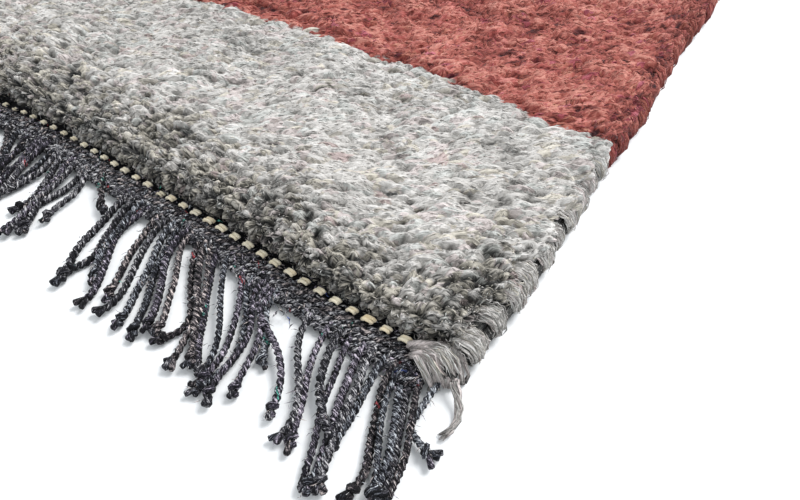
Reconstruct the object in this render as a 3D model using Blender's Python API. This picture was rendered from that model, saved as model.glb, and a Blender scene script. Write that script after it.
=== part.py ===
# A small hand-knotted pile rug lying flat on the floor: one thick pile cloth, a flat-woven strip
# with its warp fringe at each end, a cream twined line along each strip, and thick wool yarn
# wrapped over both long edges. Metres, +Z up. The origin is on the floor under the rug's middle.
# The long way of the rug runs along Y. The near end is at -Y.
import math
import random
from collections import namedtuple

import bmesh
import bpy

# The whole rug
RUG_WIDTH = 0.600  # over the wrapped edges
RUG_LENGTH = 0.900  # over the flat-woven strips, without the fringe
BAND_LENGTH = 0.135  # from the end of the rug to where the yarn changes from grey to rose
PART_GAP = 0.0003  # kept between pieces that touch
HALF_WIDTH = RUG_WIDTH / 2
HALF_LENGTH = RUG_LENGTH / 2
COLOUR_CHANGE = HALF_LENGTH - BAND_LENGTH

# The flat-woven strip at each end, thinner at its outer edge, and the cream line on it
STRIP_WIDTH = 0.011
STRIP_FROM_SIDE = 0.019  # the corner wraps cover what is left beside it
STRIP_OUTER_THICKNESS = 0.0034
STRIP_INNER_THICKNESS = 0.0045
STRIP_INNER_STEPS = 24
LINE_FROM_EDGE = 0.009
LINE_END_MARGIN = 0.001
STITCH_PITCH = 0.009
STITCH_WIDTH = 0.0026
STITCH_HEIGHT = 0.0018
STITCH_TOP = 0.6  # width of a stitch's top, against its foot
STITCH_DIP = 0.55  # size of the line between two stitches, against a stitch

# The yarn wrapped over each long edge. A broader wrap closes the strip's end at each corner
WRAP_WIDTH = 0.011
WRAP_PITCH = 0.012
WRAP_DIP = 0.85  # size of the dip between two wraps, against a wrap's crest
WRAP_CORE_OUT = 0.005  # the dips shrink towards a line this far out from the pile
WRAP_SLANT = 0.003  # how far a wrap's outer side is ahead of its inner side
CORNER_WRAP_LENGTH = 0.009
CORNER_WRAP_STEP = 0.0025  # from the broad wrap to the first common one
WRAP_END_FROM_EDGE = 0.001

# The pile cloth
PILE_HEIGHT = 0.018
PILE_HALF_WIDTH = HALF_WIDTH - WRAP_WIDTH - PART_GAP
PILE_HALF_LENGTH = HALF_LENGTH - STRIP_WIDTH - PART_GAP
TOP_INSET = 0.004  # the pile's top face stands this far inside its foot
RIM_DROP = 0.0012  # and its rim this far below the rest of it
PILE_COLUMNS = 16
PILE_ROWS = 22  # the eighth row line from the middle lies at the change of colour
RIM_CUTS = 3  # more points on each cell's rim edge, for the locks
LOCK_RELIEF = 0.0010
CORNER_RADIUS = 0.010

# The fringe
STRANDS = 84  # at each end
STRAND_WIDTH = 0.0034
FRINGE_REACH = 0.051  # from the strip's outer edge to the furthest tip
STAGGER = 0.0045  # every other strand ends this much sooner, so that the knots lie apart
REACH_JITTER = 0.002
ROOT_JITTER = 0.0004
NEAR_LEAN = 0.011  # how far the near fringe's tips lie to the right of their roots
FAR_LEAN = -0.005
LEAN_CURVE = 1.3

WOOL_ROUGHNESS = 0.95
GREY_WOOL = (0.42, 0.42, 0.41)
ROSE_WOOL = (0.36, 0.15, 0.13)
DARK_YARN = (0.05, 0.048, 0.056)
CREAM_YARN = (0.66, 0.56, 0.40)

# How the hand-made outline strays from a true rectangle, along the sides and along the ends
Stray = namedtuple("Stray", "amount length start")
SIDE_STRAYS = (
    Stray(amount=0.0010, length=0.370, start=0.8),
    Stray(amount=0.0011, length=0.120, start=3.1),
)
END_STRAYS = (
    Stray(amount=0.0012, length=0.290, start=2.5),
    Stray(amount=0.0005, length=0.113, start=0.6),
)

# Gentle hollows and rises of the pile: their height and how far apart they are each way
Lump = namedtuple("Lump", "height across along turn")
LUMPS = (
    Lump(height=0.0007, across=0.170, along=0.230, turn=0.4),
    Lump(height=0.0006, across=0.090, along=0.110, turn=2.1),
    Lump(height=0.0005, across=0.061, along=0.083, turn=4.4),
)

# Rings of the pile's side below its top face: height, bulge over the two ends, and how much of
# the locks' relief shows there
Ring = namedtuple("Ring", "height bulge locks")
SIDE_RINGS = (
    Ring(height=0.0125, bulge=0.0008, locks=1.0),
    Ring(height=0.0060, bulge=0.0, locks=0.3),
    Ring(height=0.0, bulge=0.0, locks=0.0),
)

# Sections along a strand, each as a share of its reach less a length, with its width and height.
# The widest is the knot at its end
StrandStep = namedtuple("StrandStep", "share less width height")
STRAND_STEPS = (
    StrandStep(share=0.24, less=0.0, width=STRAND_WIDTH, height=0.0034),
    StrandStep(share=0.52, less=0.0, width=STRAND_WIDTH, height=0.0034),
    StrandStep(share=1.0, less=0.0095, width=STRAND_WIDTH, height=0.0034),
    StrandStep(share=1.0, less=0.0055, width=0.0045, height=0.0043),
    StrandStep(share=1.0, less=0.0, width=0.0030, height=0.0032),
)

# Sideways sway of the fringe, by where a strand is rooted: amount at full reach, spacing, start
Sway = namedtuple("Sway", "amount spacing start")
NEAR_SWAYS = (
    Sway(amount=0.0060, spacing=0.310, start=0.3),
    Sway(amount=0.0024, spacing=0.117, start=1.9),
    Sway(amount=0.0009, spacing=0.049, start=4.0),
)
FAR_SWAYS = (
    Sway(amount=0.0055, spacing=0.270, start=3.4),
    Sway(amount=0.0026, spacing=0.129, start=0.7),
    Sway(amount=0.0009, spacing=0.053, start=2.2),
)

# Cross-section of a wrap, from its inner foot and round its outer side: out from the pile, and up
WrapPoint = namedtuple("WrapPoint", "out up")
WRAP_SECTION = (
    WrapPoint(out=0.0008, up=0.0),
    WrapPoint(out=0.0092, up=0.0),
    WrapPoint(out=WRAP_WIDTH, up=0.0050),
    WrapPoint(out=0.0086, up=0.0108),
    WrapPoint(out=0.0034, up=0.0125),
    WrapPoint(out=0.0, up=0.0070),
)

# The loose tail of the wrapping yarn at one corner: its middle out from the pile, past the
# wrapping's end and up, and its radius
TailStep = namedtuple("TailStep", "out beyond up radius")
TAIL = (
    TailStep(out=0.0096, beyond=0.0020, up=0.0050, radius=0.0028),
    TailStep(out=0.0126, beyond=0.0055, up=0.0030, radius=0.0022),
    TailStep(out=0.0146, beyond=0.0098, up=0.0018, radius=0.0018),
    TailStep(out=0.0148, beyond=0.0140, up=0.0017, radius=0.0017),
    TailStep(out=0.0134, beyond=0.0178, up=0.0014, radius=0.0014),
)


def stray(rows, place):
    return sum(row.amount * math.sin(math.tau * place / row.length + row.start) for row in rows)


def lie(x, y):
    """Where a point of the true rectangle lies on the uneven, hand-made rug."""
    side = max(-1.0, min(1.0, x / HALF_WIDTH))
    end = max(-1.0, min(1.0, y / HALF_LENGTH))
    along = end * HALF_LENGTH
    return x + side * stray(SIDE_STRAYS, along), y + end * stray(END_STRAYS, x)


def clear_scene():
    for obj in list(bpy.data.objects):
        bpy.data.objects.remove(obj)


def make_material(name, colour):
    material = bpy.data.materials.new(name)
    material.use_nodes = True
    shader = material.node_tree.nodes["Principled BSDF"]
    shader.inputs["Base Color"].default_value = (*colour, 1.0)
    shader.inputs["Roughness"].default_value = WOOL_ROUGHNESS
    shader.inputs["Metallic"].default_value = 0.0
    material.diffuse_color = (*colour, 1.0)
    return material


def finish_piece(name, bm, materials, parent):
    """Lays the piece's points on the uneven rug and makes the object."""
    for vert in bm.verts:
        vert.co.x, vert.co.y = lie(vert.co.x, vert.co.y)
    bmesh.ops.recalc_face_normals(bm, faces=bm.faces)
    mesh = bpy.data.meshes.new(name)
    bm.to_mesh(mesh)
    bm.free()
    for material in materials:
        mesh.materials.append(material)
    piece = bpy.data.objects.new(name, mesh)
    bpy.context.scene.collection.objects.link(piece)
    piece.parent = parent
    return piece


def pile_top_height(x, y):
    rise = 0.0
    for lump in LUMPS:
        across = math.sin(math.tau * x / lump.across + lump.turn)
        along = math.sin(math.tau * y / lump.along + 2 * lump.turn)
        rise += lump.height * across * along
    return PILE_HEIGHT + rise


def rounded(x, y):
    """The point of the slab's foot outline, moved onto the outline's round corner if it is in one."""
    over_x = abs(x) - (PILE_HALF_WIDTH - CORNER_RADIUS)
    over_y = abs(y) - (PILE_HALF_LENGTH - CORNER_RADIUS)
    if over_x <= 0 or over_y <= 0:
        return x, y
    shrink = CORNER_RADIUS / max(CORNER_RADIUS, math.hypot(over_x, over_y))
    x = math.copysign(PILE_HALF_WIDTH - CORNER_RADIUS + over_x * shrink, x)
    y = math.copysign(PILE_HALF_LENGTH - CORNER_RADIUS + over_y * shrink, y)
    return x, y


def place_on_side(vert, plan, ring):
    """Moves a new point of the slab's side to its ring. plan is its place on the foot outline
    and how deep the dip between two locks is there, from 0 to 1."""
    x, y, dip = plan
    dip *= LOCK_RELIEF * ring.locks
    on_end = PILE_HALF_LENGTH - abs(y) < PILE_HALF_WIDTH - abs(x)
    if on_end:
        y += math.copysign(ring.bulge - dip, y)
    else:
        x -= math.copysign(dip, x)
    vert.co = (*rounded(x, y), ring.height)


def is_between_locks(x, y):
    """Whether a rim point of the square from -1 to 1 lies between two locks, not on one."""
    column = round((x + 1) / 2 * PILE_COLUMNS * (RIM_CUTS + 1))
    row = round((y + 1) / 2 * PILE_ROWS * (RIM_CUTS + 1))
    return (column + row) % 2 == 0


def boundary(bm):
    return [edge for edge in bm.edges if edge.is_boundary]


def build_pile(grey, rose, parent):
    """The foundation and its cut pile, as one closed lumpy slab with locks round its rim."""
    chance = random.Random(5)
    bm = bmesh.new()
    bmesh.ops.create_grid(bm, x_segments=PILE_COLUMNS, y_segments=PILE_ROWS, size=1.0)
    bmesh.ops.subdivide_edges(bm, edges=boundary(bm), cuts=RIM_CUTS)
    # Each rim point's plan is kept in a layer that extruding copies to the points below it
    plan = bm.verts.layers.float_vector.new("plan")
    for vert in bm.verts:
        x, y = vert.co.x, vert.co.y
        dip = chance.uniform(0.7, 1.0) if is_between_locks(x, y) else chance.uniform(0.0, 0.3)
        vert[plan] = (x * PILE_HALF_WIDTH, y * PILE_HALF_LENGTH, dip)
        vert.co.x = x * (PILE_HALF_WIDTH - TOP_INSET)
        vert.co.y = y * (PILE_HALF_LENGTH - TOP_INSET)
        vert.co.z = pile_top_height(vert.co.x, vert.co.y)
        if vert.is_boundary:
            vert.co.z -= RIM_DROP
    for ring in SIDE_RINGS:
        drawn = bmesh.ops.extrude_edge_only(bm, edges=boundary(bm))["geom"]
        for vert in (item for item in drawn if isinstance(item, bmesh.types.BMVert)):
            place_on_side(vert, vert[plan], ring)
    bmesh.ops.edgeloop_fill(bm, edges=boundary(bm))
    for face in bm.faces:
        face.material_index = 1 if abs(face.calc_center_median().y) < COLOUR_CHANGE else 0
    return finish_piece("pile_slab", bm, (grey, rose), parent)


def strand_x(root_x, out, sways, lean):
    """Sideways place of a strand's middle, this far out from the strip's edge."""
    share = out / FRINGE_REACH
    x = root_x + lean * share**LEAN_CURVE
    for sway in sways:
        x += sway.amount * share * math.sin(math.tau * root_x / sway.spacing + sway.start)
    return x


def extrude_strand(bm, face, root_x, reach, end, sways, lean):
    """Draws one four-sided strand out of a face of the strip's outer edge, down on the floor."""
    for step in STRAND_STEPS:
        out = step.share * reach - step.less
        middle_x = strand_x(root_x, out, sways, lean)
        face = bmesh.ops.extrude_discrete_faces(bm, faces=[face])["faces"][0]
        centre = face.calc_center_median()
        for vert in face.verts:
            right = vert.co.x > centre.x
            upper = vert.co.z > centre.z
            vert.co.x = middle_x + step.width * (0.5 if right else -0.5)
            vert.co.y = end * (HALF_LENGTH + out)
            vert.co.z = step.height if upper else 0.0


def wall(bm, low, high):
    """Upright faces between two rows of points, in their order."""
    faces = []
    for i in range(len(low) - 1):
        faces.append(bm.faces.new((low[i], low[i + 1], high[i + 1], high[i])))
    return faces


def build_fringe(name, end, sways, lean, seed, material, parent):
    """A flat-woven strip with the warp strands that run out of it, resting on the floor."""
    chance = random.Random(seed)
    half_width = HALF_WIDTH - STRIP_FROM_SIDE
    pitch = 2 * half_width / STRANDS
    roots = []
    outer_x = [-half_width]
    for index in range(STRANDS):
        jitter = chance.uniform(-ROOT_JITTER, ROOT_JITTER)
        root_x = -half_width + (index + 0.5) * pitch + jitter
        roots.append(root_x)
        outer_x += [root_x - STRAND_WIDTH / 2, root_x + STRAND_WIDTH / 2]
    outer_x.append(half_width)
    step = 2 * half_width / STRIP_INNER_STEPS
    inner_x = [-half_width + i * step for i in range(STRIP_INNER_STEPS + 1)]
    outer_y = end * HALF_LENGTH
    inner_y = end * (HALF_LENGTH - STRIP_WIDTH)

    bm = bmesh.new()
    outer_low = [bm.verts.new((x, outer_y, 0.0)) for x in outer_x]
    outer_high = [bm.verts.new((x, outer_y, STRIP_OUTER_THICKNESS)) for x in outer_x]
    inner_low = [bm.verts.new((x, inner_y, 0.0)) for x in inner_x]
    inner_high = [bm.verts.new((x, inner_y, STRIP_INNER_THICKNESS)) for x in inner_x]
    bm.faces.new(outer_low + inner_low[::-1])
    bm.faces.new(outer_high + inner_high[::-1])
    wall(bm, inner_low, inner_high)
    wall(bm, [outer_low[0], inner_low[0]], [outer_high[0], inner_high[0]])
    wall(bm, [outer_low[-1], inner_low[-1]], [outer_high[-1], inner_high[-1]])
    outer_faces = wall(bm, outer_low, outer_high)
    for index, root_x in enumerate(roots):
        reach = FRINGE_REACH - STAGGER * (index % 2) - chance.uniform(0.0, REACH_JITTER)
        extrude_strand(bm, outer_faces[1 + 2 * index], root_x, reach, end, sways, lean)
    return finish_piece(name, bm, (material,), parent)


def join_rings(bm, rings):
    """Faces between each ring and the next, and a cap at each end."""
    count = len(rings[0])
    for ring, following in zip(rings, rings[1:]):
        for i in range(count):
            j = (i + 1) % count
            bm.faces.new((ring[i], ring[j], following[j], following[i]))
    bm.faces.new(rings[0])
    bm.faces.new(rings[-1])


def build_cream_line(name, end, material, parent):
    """The cream yarn twined along the strip at the foot of the pile, thick at each stitch."""
    middle_y = end * (HALF_LENGTH - LINE_FROM_EDGE)
    half_run = HALF_WIDTH - STRIP_FROM_SIDE - LINE_END_MARGIN
    stitches = round(2 * half_run / STITCH_PITCH)
    bottom = STRIP_INNER_THICKNESS + PART_GAP
    bm = bmesh.new()
    rings = []
    for index in range(2 * stitches + 1):
        size = 1.0 if index % 2 else STITCH_DIP
        half_width = STITCH_WIDTH * size / 2
        top = bottom + STITCH_HEIGHT * size
        x = half_run * (index / stitches - 1)
        section = (
            (x, middle_y - half_width, bottom),
            (x, middle_y + half_width, bottom),
            (x, middle_y + half_width * STITCH_TOP, top),
            (x, middle_y - half_width * STITCH_TOP, top),
        )
        rings.append([bm.verts.new(point) for point in section])
    join_rings(bm, rings)
    return finish_piece(name, bm, (material,), parent)


def wrap_ring(bm, side, y, size, slant, inner_reach=0.0):
    """One ring round the wrapping. size is 1 at a wrap's crest and less in a dip. inner_reach
    is how much further in a broad wrap reaches."""
    verts = []
    for point in WRAP_SECTION:
        out = WRAP_CORE_OUT + (point.out - WRAP_CORE_OUT) * size
        ahead = slant * (out / WRAP_WIDTH - 0.5)
        out -= inner_reach * (1 - point.out / WRAP_WIDTH)
        x = side * (HALF_WIDTH - WRAP_WIDTH + out)
        verts.append(bm.verts.new((x, y + ahead, point.up * size)))
    return verts


def common_wraps(bm, side, start_y, end_y):
    """Rings from dip to crest to dip along a stretch of the side."""
    wraps = round((end_y - start_y) / WRAP_PITCH)
    step = (end_y - start_y) / wraps / 2
    rings = []
    for index in range(2 * wraps + 1):
        size = 1.0 if index % 2 else WRAP_DIP
        rings.append(wrap_ring(bm, side, start_y + index * step, size, WRAP_SLANT))
    return rings


def corner_wrap(bm, side, start_y):
    """Rings of the broad wrap beside the strip's end."""
    reach = STRIP_FROM_SIDE - WRAP_WIDTH - PART_GAP
    step = CORNER_WRAP_LENGTH / 2
    return [
        wrap_ring(bm, side, start_y, WRAP_DIP, 0.0, reach),
        wrap_ring(bm, side, start_y + step, 1.0, 0.0, reach),
        wrap_ring(bm, side, start_y + 2 * step, WRAP_DIP, 0.0, reach),
    ]


def tail_ring(bm, end_y, step):
    """One ring round the loose tail at the right, with as many points as a wrap's section."""
    verts = []
    count = len(WRAP_SECTION)
    for index in range(count):
        angle = math.tau * (index - 0.5) / count - math.pi / 2
        x = HALF_WIDTH - WRAP_WIDTH + step.out + step.radius * math.cos(angle)
        z = step.up + step.radius * math.sin(angle) / math.cos(math.pi / count)
        verts.append(bm.verts.new((x, end_y - step.beyond, z)))
    return verts


def build_end_wrapping(name, side, end, material, parent, tail=()):
    """Grey yarn wound over the long edge from a corner of the rug to the change of colour."""
    bm = bmesh.new()
    corner_y = HALF_LENGTH - WRAP_END_FROM_EDGE
    common_y = corner_y - CORNER_WRAP_LENGTH - CORNER_WRAP_STEP
    change_y = COLOUR_CHANGE + PART_GAP / 2
    if end < 0:
        rings = [tail_ring(bm, -corner_y, step) for step in reversed(tail)]
        rings += corner_wrap(bm, side, -corner_y)
        rings += common_wraps(bm, side, -common_y, -change_y)
    else:
        rings = common_wraps(bm, side, change_y, common_y)
        rings += corner_wrap(bm, side, corner_y - CORNER_WRAP_LENGTH)
    join_rings(bm, rings)
    return finish_piece(name, bm, (material,), parent)


def build_middle_wrapping(name, side, material, parent):
    """Rose yarn wound over the long edge beside the rose field."""
    bm = bmesh.new()
    half_run = COLOUR_CHANGE - PART_GAP / 2
    join_rings(bm, common_wraps(bm, side, -half_run, half_run))
    return finish_piece(name, bm, (material,), parent)


def build_rug():
    clear_scene()
    rug = bpy.data.objects.new("rug", None)
    bpy.context.scene.collection.objects.link(rug)
    grey = make_material("grey_wool", GREY_WOOL)
    rose = make_material("rose_wool", ROSE_WOOL)
    dark = make_material("dark_warp_yarn", DARK_YARN)
    cream = make_material("cream_yarn", CREAM_YARN)
    build_pile(grey, rose, rug)
    build_fringe("near_fringe", -1, NEAR_SWAYS, NEAR_LEAN, 11, dark, rug)
    build_fringe("far_fringe", 1, FAR_SWAYS, FAR_LEAN, 23, dark, rug)
    build_cream_line("near_cream_line", -1, cream, rug)
    build_cream_line("far_cream_line", 1, cream, rug)
    build_end_wrapping("right_near_wrapping", 1, -1, grey, rug, TAIL)
    build_end_wrapping("right_far_wrapping", 1, 1, grey, rug)
    build_end_wrapping("left_near_wrapping", -1, -1, grey, rug)
    build_end_wrapping("left_far_wrapping", -1, 1, grey, rug)
    build_middle_wrapping("right_middle_wrapping", 1, rose, rug)
    build_middle_wrapping("left_middle_wrapping", -1, rose, rug)


build_rug()
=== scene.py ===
import math

import bpy
import numpy as np
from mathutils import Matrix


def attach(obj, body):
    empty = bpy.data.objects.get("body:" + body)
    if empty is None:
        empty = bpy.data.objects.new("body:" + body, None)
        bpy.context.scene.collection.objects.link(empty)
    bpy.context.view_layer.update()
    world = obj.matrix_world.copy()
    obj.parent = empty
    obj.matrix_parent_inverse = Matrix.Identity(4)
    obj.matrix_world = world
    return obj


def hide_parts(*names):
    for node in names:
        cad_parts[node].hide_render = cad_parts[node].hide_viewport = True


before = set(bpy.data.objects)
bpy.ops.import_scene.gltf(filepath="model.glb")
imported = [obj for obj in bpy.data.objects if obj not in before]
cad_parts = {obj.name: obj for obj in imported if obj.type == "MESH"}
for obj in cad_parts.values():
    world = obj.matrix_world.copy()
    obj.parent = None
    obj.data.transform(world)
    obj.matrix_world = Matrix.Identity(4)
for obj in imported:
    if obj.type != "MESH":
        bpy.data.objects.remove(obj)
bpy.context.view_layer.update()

# What all the pieces share, in metres. x runs across the rug, y along it, the near end at -y
rug = {
    "halfWidth": 0.300,  # over the wrapped edges
    "halfLength": 0.450,  # over the woven strips
    "pileHalfWidth": 0.2887,
    "pileHalfLength": 0.4387,
    "stripHalfWidth": 0.281,
    "pileTop": 0.018,
    "sideStrays": ((0.0010, 0.370, 0.8), (0.0011, 0.120, 3.1)),  # amount, length, start
    "endStrays": ((0.0012, 0.290, 2.5), (0.0005, 0.113, 0.6)),
    "lumps": ((0.0007, 0.170, 0.230, 0.4), (0.0006, 0.090, 0.110, 2.1), (0.0005, 0.061, 0.083, 4.4)),
}


# The ways that the sides of a tube can face
alongRug = (0.0, 1.0, 0.0)
upright = (0.0, 0.0, 1.0)


def layOnRug(points):  # moves true points to where they lie on the uneven, hand-made rug
    side = np.clip(points[..., 0] / rug["halfWidth"], -1, 1)
    end = np.clip(points[..., 1] / rug["halfLength"], -1, 1)
    moved = points.copy()
    for amount, length, start in rug["sideStrays"]:
        moved[..., 0] += side * amount * np.sin(math.tau * end * rug["halfLength"] / length + start)
    for amount, length, start in rug["endStrays"]:
        moved[..., 1] += end * amount * np.sin(math.tau * points[..., 0] / length + start)
    return moved


def pileTopAt(x, y):
    top = np.full(np.broadcast(x, y).shape, rug["pileTop"])
    for height, across, along, turn in rug["lumps"]:
        top += height * np.sin(math.tau * x / across + turn) * np.sin(math.tau * y / along + 2 * turn)
    return top


def wander(x, y, size, seed):  # smooth random hills and hollows, about -1 to 1, this far apart
    chance = np.random.default_rng(seed)
    total = np.zeros(np.broadcast(x, y).shape)
    for turn in chance.uniform(0, math.tau, 6):
        length = size * chance.uniform(0.7, 1.5)
        place = (x * math.cos(turn) + y * math.sin(turn)) / length
        total += np.sin(math.tau * place + chance.uniform(0, math.tau))
    return total / 2.4


def heading(turn, rise):  # unit steps that go this way over the floor and climb this steeply
    turn, rise = np.broadcast_arrays(turn, rise)
    flat = np.cos(rise)
    return np.stack([flat * np.cos(turn), flat * np.sin(turn), np.sin(rise)], axis=-1)


def levelAcross(turn):  # the unit step to the left of this heading
    return np.stack([-np.sin(turn), np.cos(turn), 0 * turn], axis=-1)


def unit(steps):  # a step of no length stays one
    return steps / (np.linalg.norm(steps, axis=-1, keepdims=True) + 1e-12)


def fade(value, none, full):  # 0 up to none, 1 from full on, and in step between them
    return np.clip((value - none) / (full - none), 0, 1)


def gridFaces(columns, rows):  # the numbers of a grid's points, its faces, and the points round it
    here = np.arange((columns + 1) * (rows + 1)).reshape(columns + 1, rows + 1)
    faces = np.stack([here[:-1, :-1], here[1:, :-1], here[1:, 1:], here[:-1, 1:]], axis=-1)
    rim = np.concatenate([here[:-1, 0], here[-1, :-1], here[:0:-1, -1], here[0, :0:-1]])
    return here, faces.reshape(-1, 4), rim


def addObject(name, data):
    thing = bpy.data.objects.new(name, data)
    bpy.context.scene.collection.objects.link(thing)
    return thing


def startYarn():
    return {"points": [], "corners": [], "sizes": [], "yarnMap": [], "bakeCell": [], "bakePlace": [],
            "tone": [], "fleck": [], "dye": [], "pointCount": 0, "cellCount": 0}


# One tube's faces: which points each corner uses, how far round and along it is, and its bake cell
def tubePattern(rings, sides, point, tip, cellSteps):
    corner, around, step, cell, size = [], [], [], [], []

    def addFace(corners, arounds, steps, inCell):
        corner.extend(corners)
        around.extend(arounds)
        step.extend(steps)
        cell.extend([inCell] * len(corners))
        size.append(len(corners))

    first = 1 if point else 0
    last = first + (rings - 1) * sides
    lastCell = max(rings - 2, 0) // cellSteps
    end = first + rings - 1
    everySide = list(range(sides))
    dent = [0.0] + [0.12] * (sides - 2) + [0.0]  # keeps a cap's face open on the maps
    for k in range(rings - 1):
        for s in everySide:
            low, lowNext = first + k * sides + s, first + k * sides + (s + 1) % sides
            steps = [k + first, k + first, k + first + 1, k + first + 1]
            addFace([low, lowNext, lowNext + sides, low + sides], [s, s + 1, s + 1, s], steps, k // cellSteps)
    if point:
        for s in everySide:
            addFace([0, 1 + (s + 1) % sides, 1 + s], [s + 0.5, s + 1, s], [0, 1, 1], 0)
    else:
        addFace(everySide[::-1], everySide[::-1], [-d for d in dent], 0)
    if tip:
        for s in everySide:
            corners = [last + s, last + (s + 1) % sides, last + sides]
            addFace(corners, [s, s + 1, s + 0.5], [end, end, end + 1], lastCell)
    else:
        addFace([last + s for s in everySide], everySide, [end + d for d in dent], lastCell)
    return [np.array(row) for row in (corner, around, step, cell, size)]


# Adds closed tubes. paths is tubes x steps x 3, radii and tone are tubes x steps, level is the way
# that the tubes' sides face, fleck is one number a tube. A point closes the start, a tip the end
def addTubes(yarn, paths, radii, level, sides, tone, fleck, point=False, tip=False, flat=1.0,
             cellSteps=99, spin=0.0, dye=0.0):
    count, steps = paths.shape[:2]
    radii = np.broadcast_to(radii, (count, steps))
    tone = np.broadcast_to(tone, (count, steps))
    along = unit(np.gradient(paths, axis=1))
    level = np.broadcast_to(level, (count, 3))[:, None, :]
    across = unit(level - along * (along * level).sum(axis=2, keepdims=True))
    upward = np.cross(along, across)
    ringed = slice(1 if point else 0, steps - 1 if tip else steps)
    rings = len(range(steps)[ringed])
    angles = math.tau * np.arange(sides) / sides + np.broadcast_to(spin, count)[:, None]
    reach = radii[:, ringed, None, None]
    ring = paths[:, ringed, None, :] + reach * np.cos(angles)[:, None, :, None] * across[:, ringed, None, :]
    ring = ring + flat * reach * np.sin(angles)[:, None, :, None] * upward[:, ringed, None, :]
    points = ring.reshape(count, rings * sides, 3)
    pointTone = np.repeat(tone[:, ringed], sides, axis=1)
    if point:
        points = np.concatenate([paths[:, :1, :], points], axis=1)
        pointTone = np.concatenate([tone[:, :1], pointTone], axis=1)
    if tip:
        points = np.concatenate([points, paths[:, -1:, :]], axis=1)
        pointTone = np.concatenate([pointTone, tone[:, -1:]], axis=1)
    corner, around, step, cell, size = tubePattern(rings, sides, point, tip, cellSteps)
    each = points.shape[1]
    start = yarn["pointCount"] + each * np.arange(count)
    yarn["points"].append(points.reshape(-1, 3))
    yarn["tone"].append(pointTone.reshape(-1))
    yarn["fleck"].append(np.repeat(np.broadcast_to(fleck, count), each))
    yarn["dye"].append(np.repeat(np.broadcast_to(dye, count), each))
    yarn["corners"].append((start[:, None] + corner[None, :]).reshape(-1))
    yarn["sizes"].append(np.tile(size, count))

    stretch = np.linalg.norm(np.diff(paths, axis=1), axis=2)
    length = np.concatenate([np.zeros((count, 1)), np.cumsum(stretch, axis=1)], axis=1)
    place = np.clip(step, 0, steps - 1)
    low = np.floor(place).astype(int)
    high = np.minimum(low + 1, steps - 1)
    part = (place - low)[None, :]
    run = length[:, low] * (1 - part) + length[:, high] * part + np.minimum(step, 0)[None, :] * 0.0005
    girth = math.tau * radii.mean(axis=1)[:, None]
    shift = np.broadcast_to(fleck, count)[:, None] * 0.37 + 0.011 * np.arange(count)[:, None]
    yarnMap = np.stack([around[None, :] / sides * girth + shift, run + shift * 1.7], axis=-1)
    yarn["yarnMap"].append(yarnMap.reshape(-1, 2))
    cells = int(cell.max()) + 1
    cellStart = yarn["cellCount"] + cells * np.arange(count)
    yarn["bakeCell"].append((cellStart[:, None] + cell[None, :]).reshape(-1))
    within = (step - cell * cellSteps) / min(cellSteps, steps - 1)
    local = np.stack([around / sides, np.clip(within, -0.05, 1.05)], axis=-1)
    yarn["bakePlace"].append(np.tile(local, (count, 1)))
    yarn["pointCount"] += each * count
    yarn["cellCount"] += cells * count


def addHairs(yarn, paths, radii, level, tones, fleck, **more):  # fine fibres with pointed ends
    addTubes(yarn, paths, radii, level, 3, tones, fleck, point=True, tip=True, **more)


def finishYarn(name, yarn, material, nodes):  # makes the piece out of all its tubes
    rows = math.ceil(math.sqrt(yarn["cellCount"]))
    cell = np.concatenate(yarn["bakeCell"])
    margin = 0.08  # free at the sides of every cell of the bake map
    place = np.stack([cell % rows, cell // rows], axis=-1) + margin
    place = place + (1 - 2 * margin) * np.concatenate(yarn["bakePlace"])
    values = {key: np.concatenate(yarn[key]) for key in ("tone", "fleck", "dye")}
    maps = {"yarn": np.concatenate(yarn["yarnMap"]), "OFBake": place / rows}
    points = layOnRug(np.concatenate(yarn["points"]))
    corners, sizes = np.concatenate(yarn["corners"]), np.concatenate(yarn["sizes"])
    return finishMesh(name, points, corners, sizes, values, maps, material, nodes)


def finishMesh(name, points, corners, sizes, values, maps, material, nodes):
    mesh = bpy.data.meshes.new(name)
    mesh.vertices.add(len(points))
    mesh.vertices.foreach_set("co", points.astype(np.float32).ravel())
    mesh.loops.add(len(corners))
    mesh.loops.foreach_set("vertex_index", corners.astype(np.int32))
    mesh.polygons.add(len(sizes))
    mesh.polygons.foreach_set("loop_start", (np.cumsum(sizes) - sizes).astype(np.int32))
    mesh.update(calc_edges=True)
    mesh.shade_smooth()
    for key, value in values.items():
        layer = mesh.attributes.new(key, "FLOAT", "POINT")
        layer.data.foreach_set("value", value.astype(np.float32))
    for key, places in maps.items():
        mesh.uv_layers.new(name=key).uv.foreach_set("vector", places.astype(np.float32).ravel())
    mesh.materials.append(material)
    return dressPiece(addObject(name, mesh), nodes)


def dressPiece(piece, nodes):
    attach(piece, "root")
    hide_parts(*nodes)
    triangles = sum(len(face.vertices) - 2 for face in piece.data.polygons)
    print(f"{piece.name}: {triangles} triangles")
    return piece


def startMaterial(name):  # a new material, the function that adds its nodes, and the one that links them
    material = bpy.data.materials.new(name)
    material.use_nodes = True
    tree = material.node_tree

    def make(kind, settings=(), **inputs):  # an input called n0 is the first socket
        node = tree.nodes.new(kind)
        for key, value in dict(settings).items():
            setattr(node, key, value)
        for key, value in inputs.items():
            socket = node.inputs[int(key[1:])] if key[0] == "n" and key[1:].isdigit() else node.inputs[key]
            if isinstance(value, bpy.types.NodeSocket):
                tree.links.new(value, socket)
            else:
                socket.default_value = value
        return node

    return material, make, tree.links.new


def finishWool(material, link, colour, bump):  # dull, as all yarn is
    shader = material.node_tree.nodes["Principled BSDF"]
    link(colour, shader.inputs["Base Color"])
    link(bump.outputs["Normal"], shader.inputs["Normal"])
    shader.inputs["Roughness"].default_value = 0.95
    shader.inputs["Specular IOR Level"].default_value = 0.15
    return shader


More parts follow.
